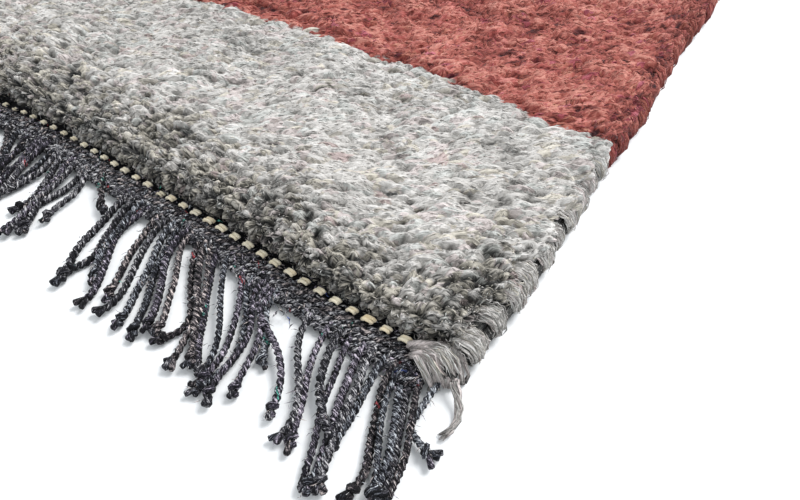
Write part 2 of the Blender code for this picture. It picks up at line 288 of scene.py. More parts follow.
def fillRamp(ramp, stops, interpolation="LINEAR"):
    ramp.interpolation = interpolation
    while len(ramp.elements) < len(stops):
        ramp.elements.new(0.5)
    for element, (place, colour) in zip(ramp.elements, stops):
        element.position = place
        element.color = (*colour, 1.0)


# Spun wool: its colour follows the yarn's tone, which carries painted shade from the dark roots to the
# lighter tips, some fibres are tinted, and fine fibres run along it. A second dye takes over where the yarn's
# dye is 1
def makeWool(name, dyes, fibre=0.45, wispShade=0.12, heather=0.0, bump=0.8, sheen=0.3, twist=0.0):
    material, make, link = startMaterial(name)

    def attribute(key):
        return make("ShaderNodeAttribute", {"attribute_name": key}).outputs["Fac"]

    def multiplyAdd(value, by, plus):
        return make("ShaderNodeMath", {"operation": "MULTIPLY_ADD"}, n0=value, n1=by, n2=plus).outputs[0]

    def alongYarn(across, along):  # a map with this many repeats a metre over the yarn and along it
        yarnMap = make("ShaderNodeUVMap", {"uv_map": "yarn"})
        return make("ShaderNodeMapping", {"vector_type": "TEXTURE"}, Vector=yarnMap.outputs["UV"],
                    Scale=(1 / across, 1 / along, 1.0), Rotation=(0.0, 0.0, twist)).outputs["Vector"]

    tone, fleck, rough = attribute("tone"), attribute("fleck"), attribute("rough")
    place = make("ShaderNodeTexCoord").outputs["Object"]
    fibres = make("ShaderNodeTexNoise", {"noise_dimensions": "2D"}, Vector=alongYarn(2200, 260),
                  Scale=1.0, Detail=3.0, Roughness=0.65)
    # Dark lines between the wisps are painted shade in the crevices; the same noise also makes the wisps'
    # bumps
    wispNoise = make("ShaderNodeTexNoise", {"noise_dimensions": "2D"}, Vector=alongYarn(820, 170),
                     Scale=1.0, Detail=1.0)
    wisps = make("ShaderNodeMapRange", {"interpolation_type": "SMOOTHSTEP"}, Value=wispNoise.outputs["Fac"])
    wisps.inputs["From Min"].default_value = 0.32
    wisps.inputs["From Max"].default_value = 0.58
    blotch = 0.16
    blotches = make("ShaderNodeTexNoise", Vector=place, Scale=70.0, Detail=3.0)
    specks = make("ShaderNodeTexNoise", Vector=place, Scale=1300.0, Detail=2.0, Roughness=0.7)
    streaks = -(fibre + heather + blotch) / 2 - 0.75 * wispShade  # so that on average they change nothing
    for source, amount in ((fibres, fibre), (wisps, wispShade), (blotches, blotch), (specks, heather)):
        streaks = multiplyAdd(source.outputs[0], amount, streaks)
    shade = multiplyAdd(streaks, multiplyAdd(rough, 1.6, 1.0), tone)  # rough wool is more broken up
    dyed = []
    for tones, tints in dyes:
        colour = make("ShaderNodeValToRGB", Fac=shade)
        fillRamp(colour.color_ramp, tones)
        tint = make("ShaderNodeValToRGB", Fac=fleck)
        fillRamp(tint.color_ramp, tints, "CONSTANT")
        mix = make("ShaderNodeMix", {"data_type": "RGBA", "blend_type": "MULTIPLY"}, n0=1.0,
                   n6=colour.outputs["Color"], n7=tint.outputs["Color"])
        dyed.append(mix.outputs[2])
    if len(dyed) == 2:
        mix = make("ShaderNodeMix", {"data_type": "RGBA"}, n0=attribute("dye"), n6=dyed[0], n7=dyed[1])
        dyed = [mix.outputs[2]]
    fluff = multiplyAdd(wisps.outputs[0], 0.8, fibres.outputs["Fac"])
    height = make("ShaderNodeBump", Strength=bump, Distance=0.0007, Height=fluff)
    shader = finishWool(material, link, dyed[0], height)
    shader.inputs["Sheen Weight"].default_value = sheen
    shader.inputs["Sheen Roughness"].default_value = 0.6
    return material


greyDye = ([
    (0.0, (0.010, 0.010, 0.011)),
    (0.30, (0.068, 0.066, 0.062)),
    (0.55, (0.312, 0.298, 0.280)),
    (0.80, (0.605, 0.580, 0.552)),
    (1.0, (0.80, 0.77, 0.742)),
], [
    (0.0, (1.0, 1.0, 1.0)),
    (0.54, (0.93, 0.97, 0.97)),
    (0.68, (1.0, 0.93, 0.94)),
    (0.84, (1.0, 0.97, 0.88)),
    (0.93, (0.80, 0.78, 0.73)),
    (0.985, (0.78, 0.66, 0.66)),
])
roseDye = ([
    (0.0, (0.020, 0.003, 0.005)),
    (0.30, (0.072, 0.013, 0.014)),
    (0.55, (0.208, 0.048, 0.038)),
    (0.80, (0.42, 0.117, 0.092)),
    (1.0, (0.64, 0.27, 0.215)),
], [
    (0.0, (1.0, 1.0, 1.0)),
    (0.60, (1.0, 0.88, 0.95)),
    (0.74, (0.95, 1.0, 0.92)),
    (0.86, (0.85, 0.62, 0.95)),
    (0.92, (0.62, 0.48, 0.50)),
    (0.96, (1.0, 1.0, 1.0)),
])
pileWool = makeWool("pile_wool", [roseDye, greyDye], fibre=0.33, wispShade=0.135,
                    heather=0.12, bump=0.8, sheen=0.10)
greyWool = makeWool("grey_wool", [greyDye], fibre=0.9, wispShade=0.20, heather=0.6, sheen=0.10)
roseWool = makeWool("rose_wool", [roseDye], fibre=0.6, wispShade=0.16, heather=0.3, sheen=0.10)
darkYarn = makeWool("dark_warp_yarn", [([
    (0.0, (0.002, 0.002, 0.003)),
    (0.35, (0.006, 0.006, 0.009)),
    (0.55, (0.030, 0.029, 0.037)),
    (0.72, (0.13, 0.126, 0.143)),
    (0.90, (0.40, 0.39, 0.41)),
    (1.0, (0.72, 0.70, 0.70)),
], [
    (0.0, (1.0, 1.0, 1.0)),
    (0.32, (1.0, 0.89, 0.84)),
    (0.54, (0.88, 0.95, 1.0)),
    (0.76, (0.95, 0.87, 1.0)),
    (0.95, (0.25, 0.95, 0.75)),
    (0.97, (1.0, 0.20, 0.22)),
    (0.99, (0.22, 0.35, 1.0)),
])], fibre=2.4, wispShade=0.34, heather=1.3, bump=0.8, sheen=0.05, twist=0.6)
creamYarn = makeWool("cream_yarn", [([
    (0.0, (0.10, 0.07, 0.04)),
    (0.35, (0.56, 0.43, 0.26)),
    (0.65, (1.0, 0.83, 0.55)),
    (1.0, (1.0, 0.90, 0.69)),
], [
    (0.0, (1.0, 1.0, 1.0)),
    (0.7, (1.0, 0.97, 0.92)),
])], fibre=0.5)


pile = {
    "knotPitch": 0.0090,
    "rowPitch": 0.0075,
    "locks": 6,  # locks of wool a knot
    "lean": math.radians(34),  # which way the worn pile lies
    "leanVaries": ((math.radians(10), 0.070, 3), (math.radians(9), 0.021, 4)),  # amount, spacing, seed
    "leanStray": (math.radians(6), math.radians(9)),  # of a knot, and of a lock in it
    "heightStray": (0.00022, 0.00035),  # the same
    "toneStray": (0.035, 0.03),
    "lockLength": 0.0074,
    "lockWidth": 0.0023,
    "roseLength": 1.25,  # the rose wool is longer and lies flatter
    "relief": 0.0012,  # how far a lock's rim lies under its crest
    "standing": 0.034,  # beside the strips the locks stand up and show their round ends
    "standingMore": 0.014,  # and further in where the end was pressed less
    "halfLength": 0.4396,
    "halfWidth": 0.2928,  # its top covers the inner side of the edge wrapping
    "roseSpread": 0.0068,
    "greySpread": 0.0040,  # the longer rose wool spreads further over its wrapping
    "endCurve": 0.0055,  # how roundly the pile turns down over its ends and sides
    "sideCurve": 0.0060,
    "endReach": 0.0104,  # how far down the pile's own curve it goes past its edge
    "sideReach": 0.0115,
    "foot": 0.0040,
    "footShade": 0.34,  # how much darker the foot of the pile's edge is
    "knotStray": (0.0010, 0.0008),  # how far a knot lies out of its row, over and along the rug
    "lockSpacing": (0.0030, 0.0037),  # between the locks of a knot
    "lockStray": (0.0009, 0.0008),
    "sunk": (0.0004, 0.0020),  # how far some locks lie under the rest
    "shaded": 0.035,  # the share of locks that are small dark hollows
    "shadedDepth": 0.0005,
    "shadedTone": 0.30,
    "tone": 0.885,  # of a lock's crest: 0 is the darkest wool and 1 the lightest
    "rimShade": 0.165,  # how much darker a lock's rim is than its crest
    "fibreLift": 0.00022,  # how far over its lock a fine fibre lies
    "brushInner": 0.0004,  # from where, and how far, the fibres of a standing lock spread
    "brushReach": 0.0022,
    "gapDepth": 0.0045,  # how far down a gap between locks goes
    "seed": 31,
    # name, from y, to y, mesh step, fibres a lock, their radius
    "zones": (
        ("near_band", -1.0, -0.304, 0.00108, 1.75, 0.00027),
        ("near_field", -0.306, -0.100, 0.00160, 0.9, 0.00034),
        ("middle_field", -0.102, 0.306, 0.00300, 0.22, 0.00050),
        ("far_band", 0.304, 1.0, 0.00250, 0.4, 0.00050),
    ),
}


def colourChangeAt(x):  # how far from the middle grey takes over from rose
    return 0.3185 - 0.0075 * np.cos(math.tau * (x - 0.225) / 0.40)


def bendDown(run, edge, curve):  # a run along the pile's top and down over its edge
    away = np.abs(run) - (edge - curve)
    angle = np.clip(away / curve, 0, math.pi / 2)
    place = np.where(away < 0, np.abs(run), edge - curve + curve * np.sin(angle))
    drop = curve * (1 - np.cos(angle)) + np.maximum(away - curve * math.pi / 2, 0)
    return np.sign(run) * place, drop, np.sign(run) * angle


def pileEdge(y):  # how far from the middle the pile's uneven side is
    rose = np.clip((colourChangeAt(rug["pileHalfWidth"]) - np.abs(y)) / 0.012 + 0.5, 0, 1)
    grey = (1 - rose) * fade(np.abs(y), 0.434, 0.424)
    spread = pile["roseSpread"] * rose + pile["greySpread"] * grey
    return pile["halfWidth"] + spread + (0.0020 + 0.0014 * grey) * wander(0 * y, y, 0.024, 12)


def onPile(runX, runY, height):  # the true point this far above the pile's own curved top
    x, dropX, angleX = bendDown(runX, pileEdge(runY), pile["sideCurve"])
    y, dropY, angleY = bendDown(runY, pile["halfLength"], pile["endCurve"])
    z = pileTopAt(x, y) - dropX - dropY
    out = unit(np.stack([np.sin(angleX), np.sin(angleY), np.cos(angleX) * np.cos(angleY)], axis=-1))
    points = np.stack([x, y, z], axis=-1) + height[..., None] * out
    points[..., 2] = np.maximum(points[..., 2], pile["foot"])
    return points


def pileSpan():  # half the pile's width and length, with what hangs over its edges
    return pile["halfWidth"] + pile["sideReach"], pile["halfLength"] + pile["endReach"]


def pileLocks():  # each lock of wool with its place, size, lean, height, tone and dye
    chance = np.random.default_rng(pile["seed"])
    halfX, halfY = pileSpan()
    columns, rows = round(2 * halfX / pile["knotPitch"]), round(2 * halfY / pile["rowPitch"])
    column, row = np.meshgrid(np.arange(columns), np.arange(rows), indexing="ij")
    x = (-halfX + (column + 0.5 + 0.25 * (row % 2) - 0.125) * 2 * halfX / columns).ravel()
    y = (-halfY + (row + 0.5) * 2 * halfY / rows).ravel()
    x = x + chance.uniform(-1, 1, x.shape) * pile["knotStray"][0]
    y = y + chance.uniform(-1, 1, x.shape) * pile["knotStray"][1]
    turn = pile["lean"] + chance.normal(0, pile["leanStray"][0], x.shape)
    for amount, spacing, seed in pile["leanVaries"]:
        turn += amount * wander(x, y, spacing, seed)
    furrow = wander(0 * x, y, 0.013, 21) + 0.5 * wander(x, y, 0.040, 22)  # the rows of knots still show
    height = chance.normal(0, pile["heightStray"][0], x.shape) + 0.0004 * wander(x, y, 0.018, 5)
    tone = chance.normal(0, pile["toneStray"][0], x.shape) + 0.035 * wander(x, y, 0.030, 6)
    knot = {
        "x": x, "y": y, "turn": turn, "furrow": furrow,
        "height": height + 0.0003 * furrow,
        # Painted shade: the pile darkens towards the left, where the light falls off, and in the furrows
        # between the rows of knots
        "tone": tone + 0.035 * furrow - 0.045 * fade(x, 0.22, 0.02),
        "fleck": chance.uniform(0, 1, x.shape),
    }
    locks = {key: np.repeat(value, pile["locks"]) for key, value in knot.items()}
    count = len(locks["x"])
    part = np.tile(np.arange(pile["locks"]), count // pile["locks"])
    inKnot = (part % 3 - 1, part // 3 - 0.5)
    for key, place, spacing, stray in zip("xy", inKnot, pile["lockSpacing"], pile["lockStray"]):
        locks[key] += place * spacing + chance.normal(0, stray, count)
    fromMiddleX, fromMiddleY = np.abs(locks["x"]), np.abs(locks["y"])
    change = colourChangeAt(locks["x"]) + chance.normal(0, 0.0010, count)
    locks["dye"] = (fromMiddleY > change).astype(float)
    rose = 1 - locks["dye"]
    # The rose's furrows lie deeper, with painted shade in them
    locks["height"] += 0.0005 * rose * locks["furrow"]
    locks["tone"] += 0.030 * rose * locks["furrow"]
    deep = pile["standing"] + pile["standingMore"] * fade(locks["x"], 0.25, 0.03)
    standing = fade(fromMiddleY, rug["pileHalfLength"] - deep, rug["pileHalfLength"])
    atCornerSide = fade(fromMiddleX, 0.262, 0.287) * fade(-locks["y"], 0.372, 0.412)
    roseSide = 0.5 * rose * fade(fromMiddleX, 0.284, 0.292)
    standing = np.maximum(standing, np.maximum(0.9 * atCornerSide, roseSide))
    locks["standing"] = standing
    longer = 1 + (pile["roseLength"] - 1) * rose
    locks["turn"] += chance.normal(0, pile["leanStray"][1] * (1 + 2 * standing), count)
    locks["length"] = pile["lockLength"] * longer * (1 - 0.48 * standing) * chance.uniform(0.75, 1.25, count)
    locks["width"] = pile["lockWidth"] * (1 + 0.45 * standing) * chance.uniform(0.78, 1.25, count)
    sunk = chance.uniform(0, 1, count) < 0.10 + 0.12 * standing + 0.05 * rose
    sink = np.where(sunk, chance.uniform(*pile["sunk"], count), 0)
    locks["height"] += chance.normal(0, pile["heightStray"][1], count) - sink
    locks["tone"] += chance.normal(0, pile["toneStray"][1] + 0.05 * standing, count)
    # Sunk locks get painted shade
    locks["tone"] -= (110 + 50 * standing + 40 * rose) * sink  # the deeper, the darker
    locks["fleck"] = np.where(chance.uniform(0, 1, count) < 0.4, locks["fleck"], chance.uniform(0, 1, count))
    dusty = (chance.uniform(0, 1, count) < 0.55 * standing) & (locks["fleck"] < 0.84)
    locks["fleck"] = np.where(dusty, chance.uniform(0.85, 0.98, count), locks["fleck"])
    locks["relief"] = pile["relief"] * (1 + 1.2 * standing + 0.75 * rose) * chance.uniform(0.8, 1.3, count)
    shaded = chance.uniform(0, 1, count) < pile["shaded"] * (1 + rose)
    locks["height"] -= pile["shadedDepth"] * shaded
    locks["tone"] -= (pile["shadedTone"] + 0.10 * rose) * shaded
    return locks


def lockHeight(locks, pick, along, across):  # a lock's own hump; along and across run from -1 to 1
    away = along**2 + across**2
    slope = 0.0005 * (1 - locks["standing"][pick])
    return locks["height"][pick] + slope * along - locks["relief"][pick] * away**1.15, away


def makePileZone(locks, name, fromY, toY, step):  # one dense, lumpy piece of pile, closed below
    halfX, halfY = pileSpan()
    fromY, toY = max(fromY, -halfY), min(toY, halfY)
    columns, rows = round(2 * halfX / step), round((toY - fromY) / step)
    lineX = np.linspace(-halfX, halfX, columns + 1)
    lineY = np.linspace(fromY, toY, rows + 1)
    here, faces, rim = gridFaces(columns, rows)
    height = np.full(here.shape, -pile["gapDepth"])
    owner = np.full(here.shape, -1)
    away = np.full(here.shape, 1.6)
    reach = 0.80 * locks["length"]
    inside = np.flatnonzero((locks["y"] + reach > fromY) & (locks["y"] - reach < toY))
    lowX = np.searchsorted(lineX, locks["x"] - reach)
    highX = np.searchsorted(lineX, locks["x"] + reach)
    lowY = np.searchsorted(lineY, locks["y"] - reach)
    highY = np.searchsorted(lineY, locks["y"] + reach)
    cosTurn, sinTurn = np.cos(locks["turn"]), np.sin(locks["turn"])
    for i in inside:
        window = (slice(lowX[i], highX[i]), slice(lowY[i], highY[i]))
        dx = lineX[window[0], None] - locks["x"][i]
        dy = lineY[None, window[1]] - locks["y"][i]
        along = (dx * cosTurn[i] + dy * sinTurn[i]) * (2 / locks["length"][i])
        across = (dy * cosTurn[i] - dx * sinTurn[i]) * (2 / locks["width"][i])
        hump, far = lockHeight(locks, i, along, across)
        better = hump > height[window]
        height[window] = np.where(better, hump, height[window])
        owner[window] = np.where(better, i, owner[window])
        away[window] = np.where(better, far, away[window])
    gridX, gridY = np.meshgrid(lineX, lineY, indexing="ij")
    for _ in range(4):  # the bottom of a gap between locks has its neighbour's colour
        owner = np.where(owner < 0, np.roll(owner, 1, axis=1), owner)
    top = onPile(gridX, gridY, height)
    count, around = here.size, len(rim)
    low = top.reshape(-1, 3)[rim].copy()
    low[:, 2] = pile["foot"] - 0.0008
    points = layOnRug(np.concatenate([top.reshape(-1, 3), low]))
    follow = np.roll(np.arange(around), -1)
    sides = np.stack([rim[follow], rim, count + np.arange(around), count + follow], axis=-1)
    corners = np.concatenate([faces.ravel(), sides.ravel(), count + np.arange(around)])
    sizes = np.concatenate([np.full(len(faces) + len(sides), 4), [around]])
    # On the yarn map every face lies in its own lock, so that the fibres run along the lock
    faceLock = owner.ravel()[faces[:, 0]]
    faceX = gridX.ravel()[faces] - locks["x"][faceLock, None]
    faceY = gridY.ravel()[faces] - locks["y"][faceLock, None]
    turnCos, turnSin = cosTurn[faceLock, None], sinTurn[faceLock, None]
    shift = 0.37 * locks["fleck"][faceLock, None] + 0.013 * (faceLock[:, None] % 97)
    yarnMap = np.stack([faceY * turnCos - faceX * turnSin, faceX * turnCos + faceY * turnSin], axis=-1)
    yarnMap = yarnMap + shift[..., None]
    rest = np.zeros((len(corners) - faces.size, 2))
    bakeTop = np.stack([(gridX.ravel()[faces] / halfX + 1) / 2 * 0.98 + 0.01,
                        0.06 + 0.93 * (gridY.ravel()[faces] - fromY) / (toY - fromY)], axis=-1)
    share = np.arange(around) / around
    bakeSide = np.stack([np.stack([share + 1 / around, share, share, share + 1 / around], axis=-1),
                         np.tile([0.02, 0.02, 0.005, 0.005], (around, 1))], axis=-1)
    bakeLow = np.stack([0.5 + low[:, 0], 0.03 + 0.02 * (low[:, 1] - fromY) / (toY - fromY)], axis=-1)
    owned = np.append(owner.ravel(), owner.ravel()[rim])
    standing = locks["standing"][owned]
    down = np.clip(np.append(away.ravel(), away.ravel()[rim]), 0, 2)
    tone = pile["tone"] + locks["tone"][owned] - (pile["rimShade"] + 0.10 * standing) * down
    tone += np.random.default_rng(pile["seed"] + columns).normal(0, 1, len(tone)) * (0.02 + 0.10 * standing)
    # Painted shade, with some dirt: the standing locks beside the strips are darker, as they face away from
    # the light, a little less so on the left
    tone -= 0.24 * standing * (1 - 0.22 * fade(points[:, 0], 0.20, 0.05))
    tone -= pile["footShade"] * fade(points[:, 2], 0.0075, 0.0045)
    values = {"tone": tone, "fleck": locks["fleck"][owned], "dye": locks["dye"][owned],
              "rough": np.maximum(standing, 0.35 * (1 - locks["dye"][owned]))}
    maps = {"yarn": np.concatenate([yarnMap.reshape(-1, 2), rest]),
            "OFBake": np.concatenate([bakeTop.reshape(-1, 2), bakeSide.reshape(-1, 2), bakeLow])}
    return finishMesh(name + "_pile", points, corners, sizes, values, maps, pileWool,
                      ["pile_slab"])


def addPileFibres(yarn, locks, chosen, fibres, radius, seed):  # fine wool that lies along the locks
    chance = np.random.default_rng(seed)
    wanted = np.flatnonzero(chosen)
    atSide = np.abs(locks["x"][wanted]) > pile["halfWidth"] - 0.004
    share = fibres * (1 + 1.4 * locks["standing"][wanted]) * np.where(atSide, 1.6, 1.0)
    pick = np.repeat(wanted, np.floor(share + chance.uniform(0, 1, len(wanted))).astype(int))
    count = len(pick)
    standing = locks["standing"][pick]
    across = chance.uniform(-0.85, 0.85, count)
    start = chance.uniform(-1.0, 0.0, count)
    reach = chance.uniform(0.9, 1.5, count)
    fan = chance.normal(0, math.radians(11), count) + across * standing * 1.2
    # Standing locks open like a brush, so their fibres start at the middle and go all ways
    spray = chance.uniform(0, math.tau, count)
    turn = locks["turn"][pick]
    paths = []
    for share in (0.0, 0.55, 1.0):
        along = start + reach * share
        side = across + 0.9 * np.tan(fan) * reach * share
        lift = pile["fibreLift"] * (1 if share else -1.5) + 0.0002 * share * chance.normal(0, 1, count)
        flatX = along * locks["length"][pick] / 2
        flatY = side * locks["width"][pick] / 2
        hump, _ = lockHeight(locks, pick, np.clip(along, -1.2, 1.0), np.clip(side, -1.1, 1.1))
        x = locks["x"][pick] + flatX * np.cos(turn) - flatY * np.sin(turn)
        y = locks["y"][pick] + flatX * np.sin(turn) + flatY * np.cos(turn)
        fromLock = pile["brushInner"] + pile["brushReach"] * share
        roundX = locks["x"][pick] + fromLock * np.cos(spray)
        roundY = locks["y"][pick] + fromLock * np.sin(spray)
        roundUp = locks["height"][pick] + 0.0004 - 0.0012 * share**2 + 0.0002 * chance.normal(0, 1, count)
        blend = np.clip(standing * 1.3, 0, 1)
        paths.append(onPile(x + blend * (roundX - x), y + blend * (roundY - y),
                            hump + lift + blend * (roundUp - hump - lift)))
    paths = np.stack(paths, axis=1)
    thick = radius * ((1 - 0.3 * standing) * chance.uniform(0.7, 1.3, count))[:, None]
    thick = thick * np.array([[0.1, 1.0, 0.1]])
    # Painted shade, with some dirt: fibres of standing locks are darker; each fibre also has painted shade at
    # its root and is lighter at its tip
    tone = 0.88 + locks["tone"][pick] - 0.22 * standing + chance.normal(0, 0.05 + 0.14 * standing, count)
    tones = tone[:, None] + np.array([[-0.20, 0.0, 0.06]])
    fleck = np.where(chance.uniform(0, 1, count) < 0.7, locks["fleck"][pick], chance.uniform(0, 1, count))
    level = levelAcross(turn)
    addHairs(yarn, paths, thick, level, tones, fleck, dye=locks["dye"][pick],
             spin=chance.uniform(0, math.tau, count))


def makePile():
    locks = pileLocks()
    pieces = []
    for index, (name, fromY, toY, step, fibres, radius) in enumerate(pile["zones"]):
        pieces.append(makePileZone(locks, name, fromY, toY, step))
        chosen = (locks["y"] >= fromY) & (locks["y"] < toY - 0.002)
        yarn = startYarn()
        addPileFibres(yarn, locks, chosen, fibres, radius, pile["seed"] + 1 + index)
        pieces.append(finishYarn(name + "_fibres", yarn, pileWool, ["pile_slab"]))
    return pieces


cloth = {
    "cells": (24, 36),
    "top": 0.0038,
    "underside": 0.0004,
    "inset": 0.0035,  # its rim stays inside the pile
    "weftGap": 0.0005,
    "roseHalfLength": 0.3165,
}


def makeWovenBack():  # the underside: rows of knots in the pile's colours between dark wefts
    material, make, link = startMaterial("woven_back")
    place = make("ShaderNodeTexCoord").outputs["Object"]
    split = make("ShaderNodeSeparateXYZ", Vector=place)
    brick = make("ShaderNodeTexBrick", {"offset": 0.0, "squash": 1.0}, Vector=place,
                 Scale=1.0, Color1=(0.34, 0.33, 0.31, 1.0), Color2=(0.24, 0.24, 0.23, 1.0),
                 Mortar=(0.03, 0.03, 0.035, 1.0))
    brick.inputs["Brick Width"].default_value = pile["knotPitch"] / 2
    brick.inputs["Row Height"].default_value = pile["rowPitch"] / 2
    brick.inputs["Mortar Size"].default_value = cloth["weftGap"]
    brick.inputs["Mortar Smooth"].default_value = 0.6
    away = make("ShaderNodeMath", {"operation": "ABSOLUTE"}, n0=split.outputs["Y"])
    isRose = make("ShaderNodeMath", {"operation": "LESS_THAN"}, n0=away.outputs[0],
                  n1=cloth["roseHalfLength"])
    dye = make("ShaderNodeMix", {"data_type": "RGBA"}, n0=isRose.outputs[0], n6=(1.0, 1.0, 1.0, 1.0),
               n7=(1.0, 0.42, 0.38, 1.0))
    knots = make("ShaderNodeMix", {"data_type": "RGBA", "blend_type": "MULTIPLY"}, n0=1.0,
                 n6=brick.outputs["Color"], n7=dye.outputs[2])
    fibres = make("ShaderNodeTexNoise", Vector=place, Scale=900.0, Detail=3.0)
    height = make("ShaderNodeMath", {"operation": "SUBTRACT"}, n0=fibres.outputs["Fac"],
                  n1=brick.outputs["Fac"])
    bump = make("ShaderNodeBump", Strength=0.8, Distance=0.0008, Height=height.outputs[0])
    finishWool(material, link, knots.outputs[2], bump)
    return material


def makeCloth():  # the foundation that the pile is knotted into
    columns, rows = cloth["cells"]
    halfX, halfY = rug["pileHalfWidth"] - cloth["inset"], rug["pileHalfLength"] - cloth["inset"]
    lineX, lineY = np.linspace(-halfX, halfX, columns + 1), np.linspace(-halfY, halfY, rows + 1)
    x, y = np.meshgrid(lineX, lineY, indexing="ij")
    here, faces, rim = gridFaces(columns, rows)
    top = np.stack([x, y, cloth["top"] + 0.0002 * wander(x, y, 0.05, 8)], axis=-1).reshape(-1, 3)
    low = np.stack([x, y, cloth["underside"] + 0 * x], axis=-1).reshape(-1, 3)
    points = layOnRug(np.concatenate([top, low]))
    follow = np.roll(rim, -1)
    sides = np.stack([follow, rim, here.size + rim, here.size + follow], axis=-1)
    mesh = bpy.data.meshes.new("foundation_cloth")
    mesh.from_pydata(points.tolist(), [], np.concatenate([faces, faces[:, ::-1] + here.size, sides]).tolist())
    mesh.update(calc_edges=True)
    mesh.materials.append(makeWovenBack())
    return dressPiece(addObject("foundation_cloth", mesh), ["pile_slab"])


strip = {
    "inner": 0.4388,  # its inner edge, from the middle
    "rows": (0.4434, 0.4457, 0.4480, 0.4503, 0.4525),  # each twined row's distance from the middle
    "height": (0.0052, 0.0051, 0.0048, 0.0044, 0.0038),
    "plyRadius": 0.00105,
    "plyOffset": 0.00075,
    "pitch": 0.0064,
    "stepsATurn": 5,
    "tone": 0.53,
    # Painted light and shade: the side of a ply that faces up is lighter and its underside darker
    "paintedPlyLight": 0.18,  # how much lighter the side of a ply is that faces up
    # the imported yarn under the rows, nearly black as painted shade: how far from the strip's inner edge,
    # and its radius
    "cores": ((-0.0014, 0.0024), (0.0022, 0.0022), (0.0054, 0.0020), (0.0091, 0.0017)),
    "frizz": 1500,
    "frizzOut": 0.4530,  # how far from the middle the loose wool starts
    "frizzIn": 0.0150,  # and how far in over the strip it reaches
    "frizzTone": 0.60,
    "frizzRadius": (0.00022, 0.00060),
    "frizzLength": (0.0025, 0.0065),
}


def addTwinedRow(yarn, end, awayY, height, seed):
    chance = np.random.default_rng(seed)
    length = 2 * rug["stripHalfWidth"]
    turns = length / strip["pitch"]
    steps = int(turns * (strip["stepsATurn"] - (end > 0)))
    share = np.linspace(0, 1, steps + 1)
    x = -rug["stripHalfWidth"] + length * share
    angle = math.tau * turns * share + 0.6 * wander(x, 0 * x, 0.05, seed)
    for ply in range(2):
        turn = angle + math.pi * ply
        y = end * (awayY + strip["plyOffset"] * np.cos(turn) + 0.0003 * wander(x, 0 * x, 0.03, seed + 7))
        z = height - 0.0012 + strip["plyOffset"] * np.sin(turn) + 0.0003 * wander(x, 0 * x, 0.02, seed + 9)
        path = np.stack([x, y, z], axis=-1)[None]
        radii = strip["plyRadius"] * chance.uniform(0.85, 1.2, steps + 1)[None]
        # Each ply gets painted light on top and painted shade underneath
        tone = (strip["tone"] + strip["paintedPlyLight"] * np.sin(turn) + chance.normal(0, 0.08, steps + 1))[None]
        addTubes(yarn, path, radii, upright, 4, tone, chance.uniform(0, 0.5, 1), cellSteps=8)


def addStripFrizz(yarn, end, chance):  # loose dark wool that hides the strip's neat rows
    count = strip["frizz"] if end < 0 else strip["frizz"] // 3
    x = chance.uniform(-rug["stripHalfWidth"] + 0.004, rug["stripHalfWidth"] - 0.003, count)
    inward = chance.uniform(0, 1, count)
    overFringe = 0.0045 * (1 - inward) * fade(x, 0.18, 0.24)  # near the right corner it spreads further out
    y = end * (strip["frizzOut"] - strip["frizzIn"] * inward + overFringe)
    z = 0.0040 + 0.0016 * inward + chance.uniform(-0.0004, 0.0006, count)
    turn = np.where(chance.uniform(0, 1, count) < 0.6, 0.0, end * 1.2) + chance.normal(0, 0.7, count)
    length = chance.uniform(*strip["frizzLength"], count)
    root = np.stack([x, y, z], axis=-1)
    middle = root + (0.5 * length)[:, None] * heading(turn, chance.normal(0.15, 0.25, count))
    tip = middle + (0.5 * length)[:, None] * heading(turn + chance.normal(0, 0.8, count), -0.35)
    level = levelAcross(turn)
    thick = chance.uniform(*strip["frizzRadius"], count)[:, None] * np.array([[0.2, 1.0, 0.2]])
    # Each frizz fibre has painted shade at its root and is lighter at its tip
    tones = chance.normal(strip["frizzTone"], 0.20, (count, 1)) + np.array([[-0.1, 0.0, 0.1]])
    addHairs(yarn, np.stack([root, middle, tip], axis=1), thick, level, tones, chance.uniform(0, 1, count))


def addTwistedCord(yarn, path, pitch, plies, plyRadius, plyOffset, tone, fleck, stepLength, phase, bit=None):
    # The plies wind round the path, which is n x 3. bit is a coloured scrap spun into one ply:
    # its fleck and how far along it lies
    stretch = np.linalg.norm(np.diff(path, axis=0), axis=1)
    length = np.concatenate([[0], np.cumsum(stretch)])
    steps = max(8, int(length[-1] / stepLength))
    run = np.linspace(0, length[-1], steps)
    line = np.stack([np.interp(run, length, path[:, i]) for i in range(3)], axis=-1)
    along = unit(np.gradient(line, axis=0))
    across = unit(np.cross(along, upright))
    upward = np.cross(across, along)
    for ply in range(plies):
        angle = (math.tau * (run / pitch + ply / plies) + phase)[:, None]
        middle = line + plyOffset * (np.cos(angle) * across + np.sin(angle) * upward)
        middle[:, 2] = np.maximum(middle[:, 2], plyRadius)
        # Painted light and shade: each ply is lighter where it faces up and darker underneath
        tones = np.broadcast_to(tone, steps)[None] + 0.21 * np.sin(angle[:, 0])[None]
        addTubes(yarn, middle[None], plyRadius, upright, 5, tones, fleck, cellSteps=10)
        if ply == 0 and bit:
            first = int(bit[1] * (steps - 6))
            scrap = middle[None, first : first + 6]
            addTubes(yarn, scrap, 1.12 * plyRadius, upright, 4, 0.72, bit[0], cellSteps=10)


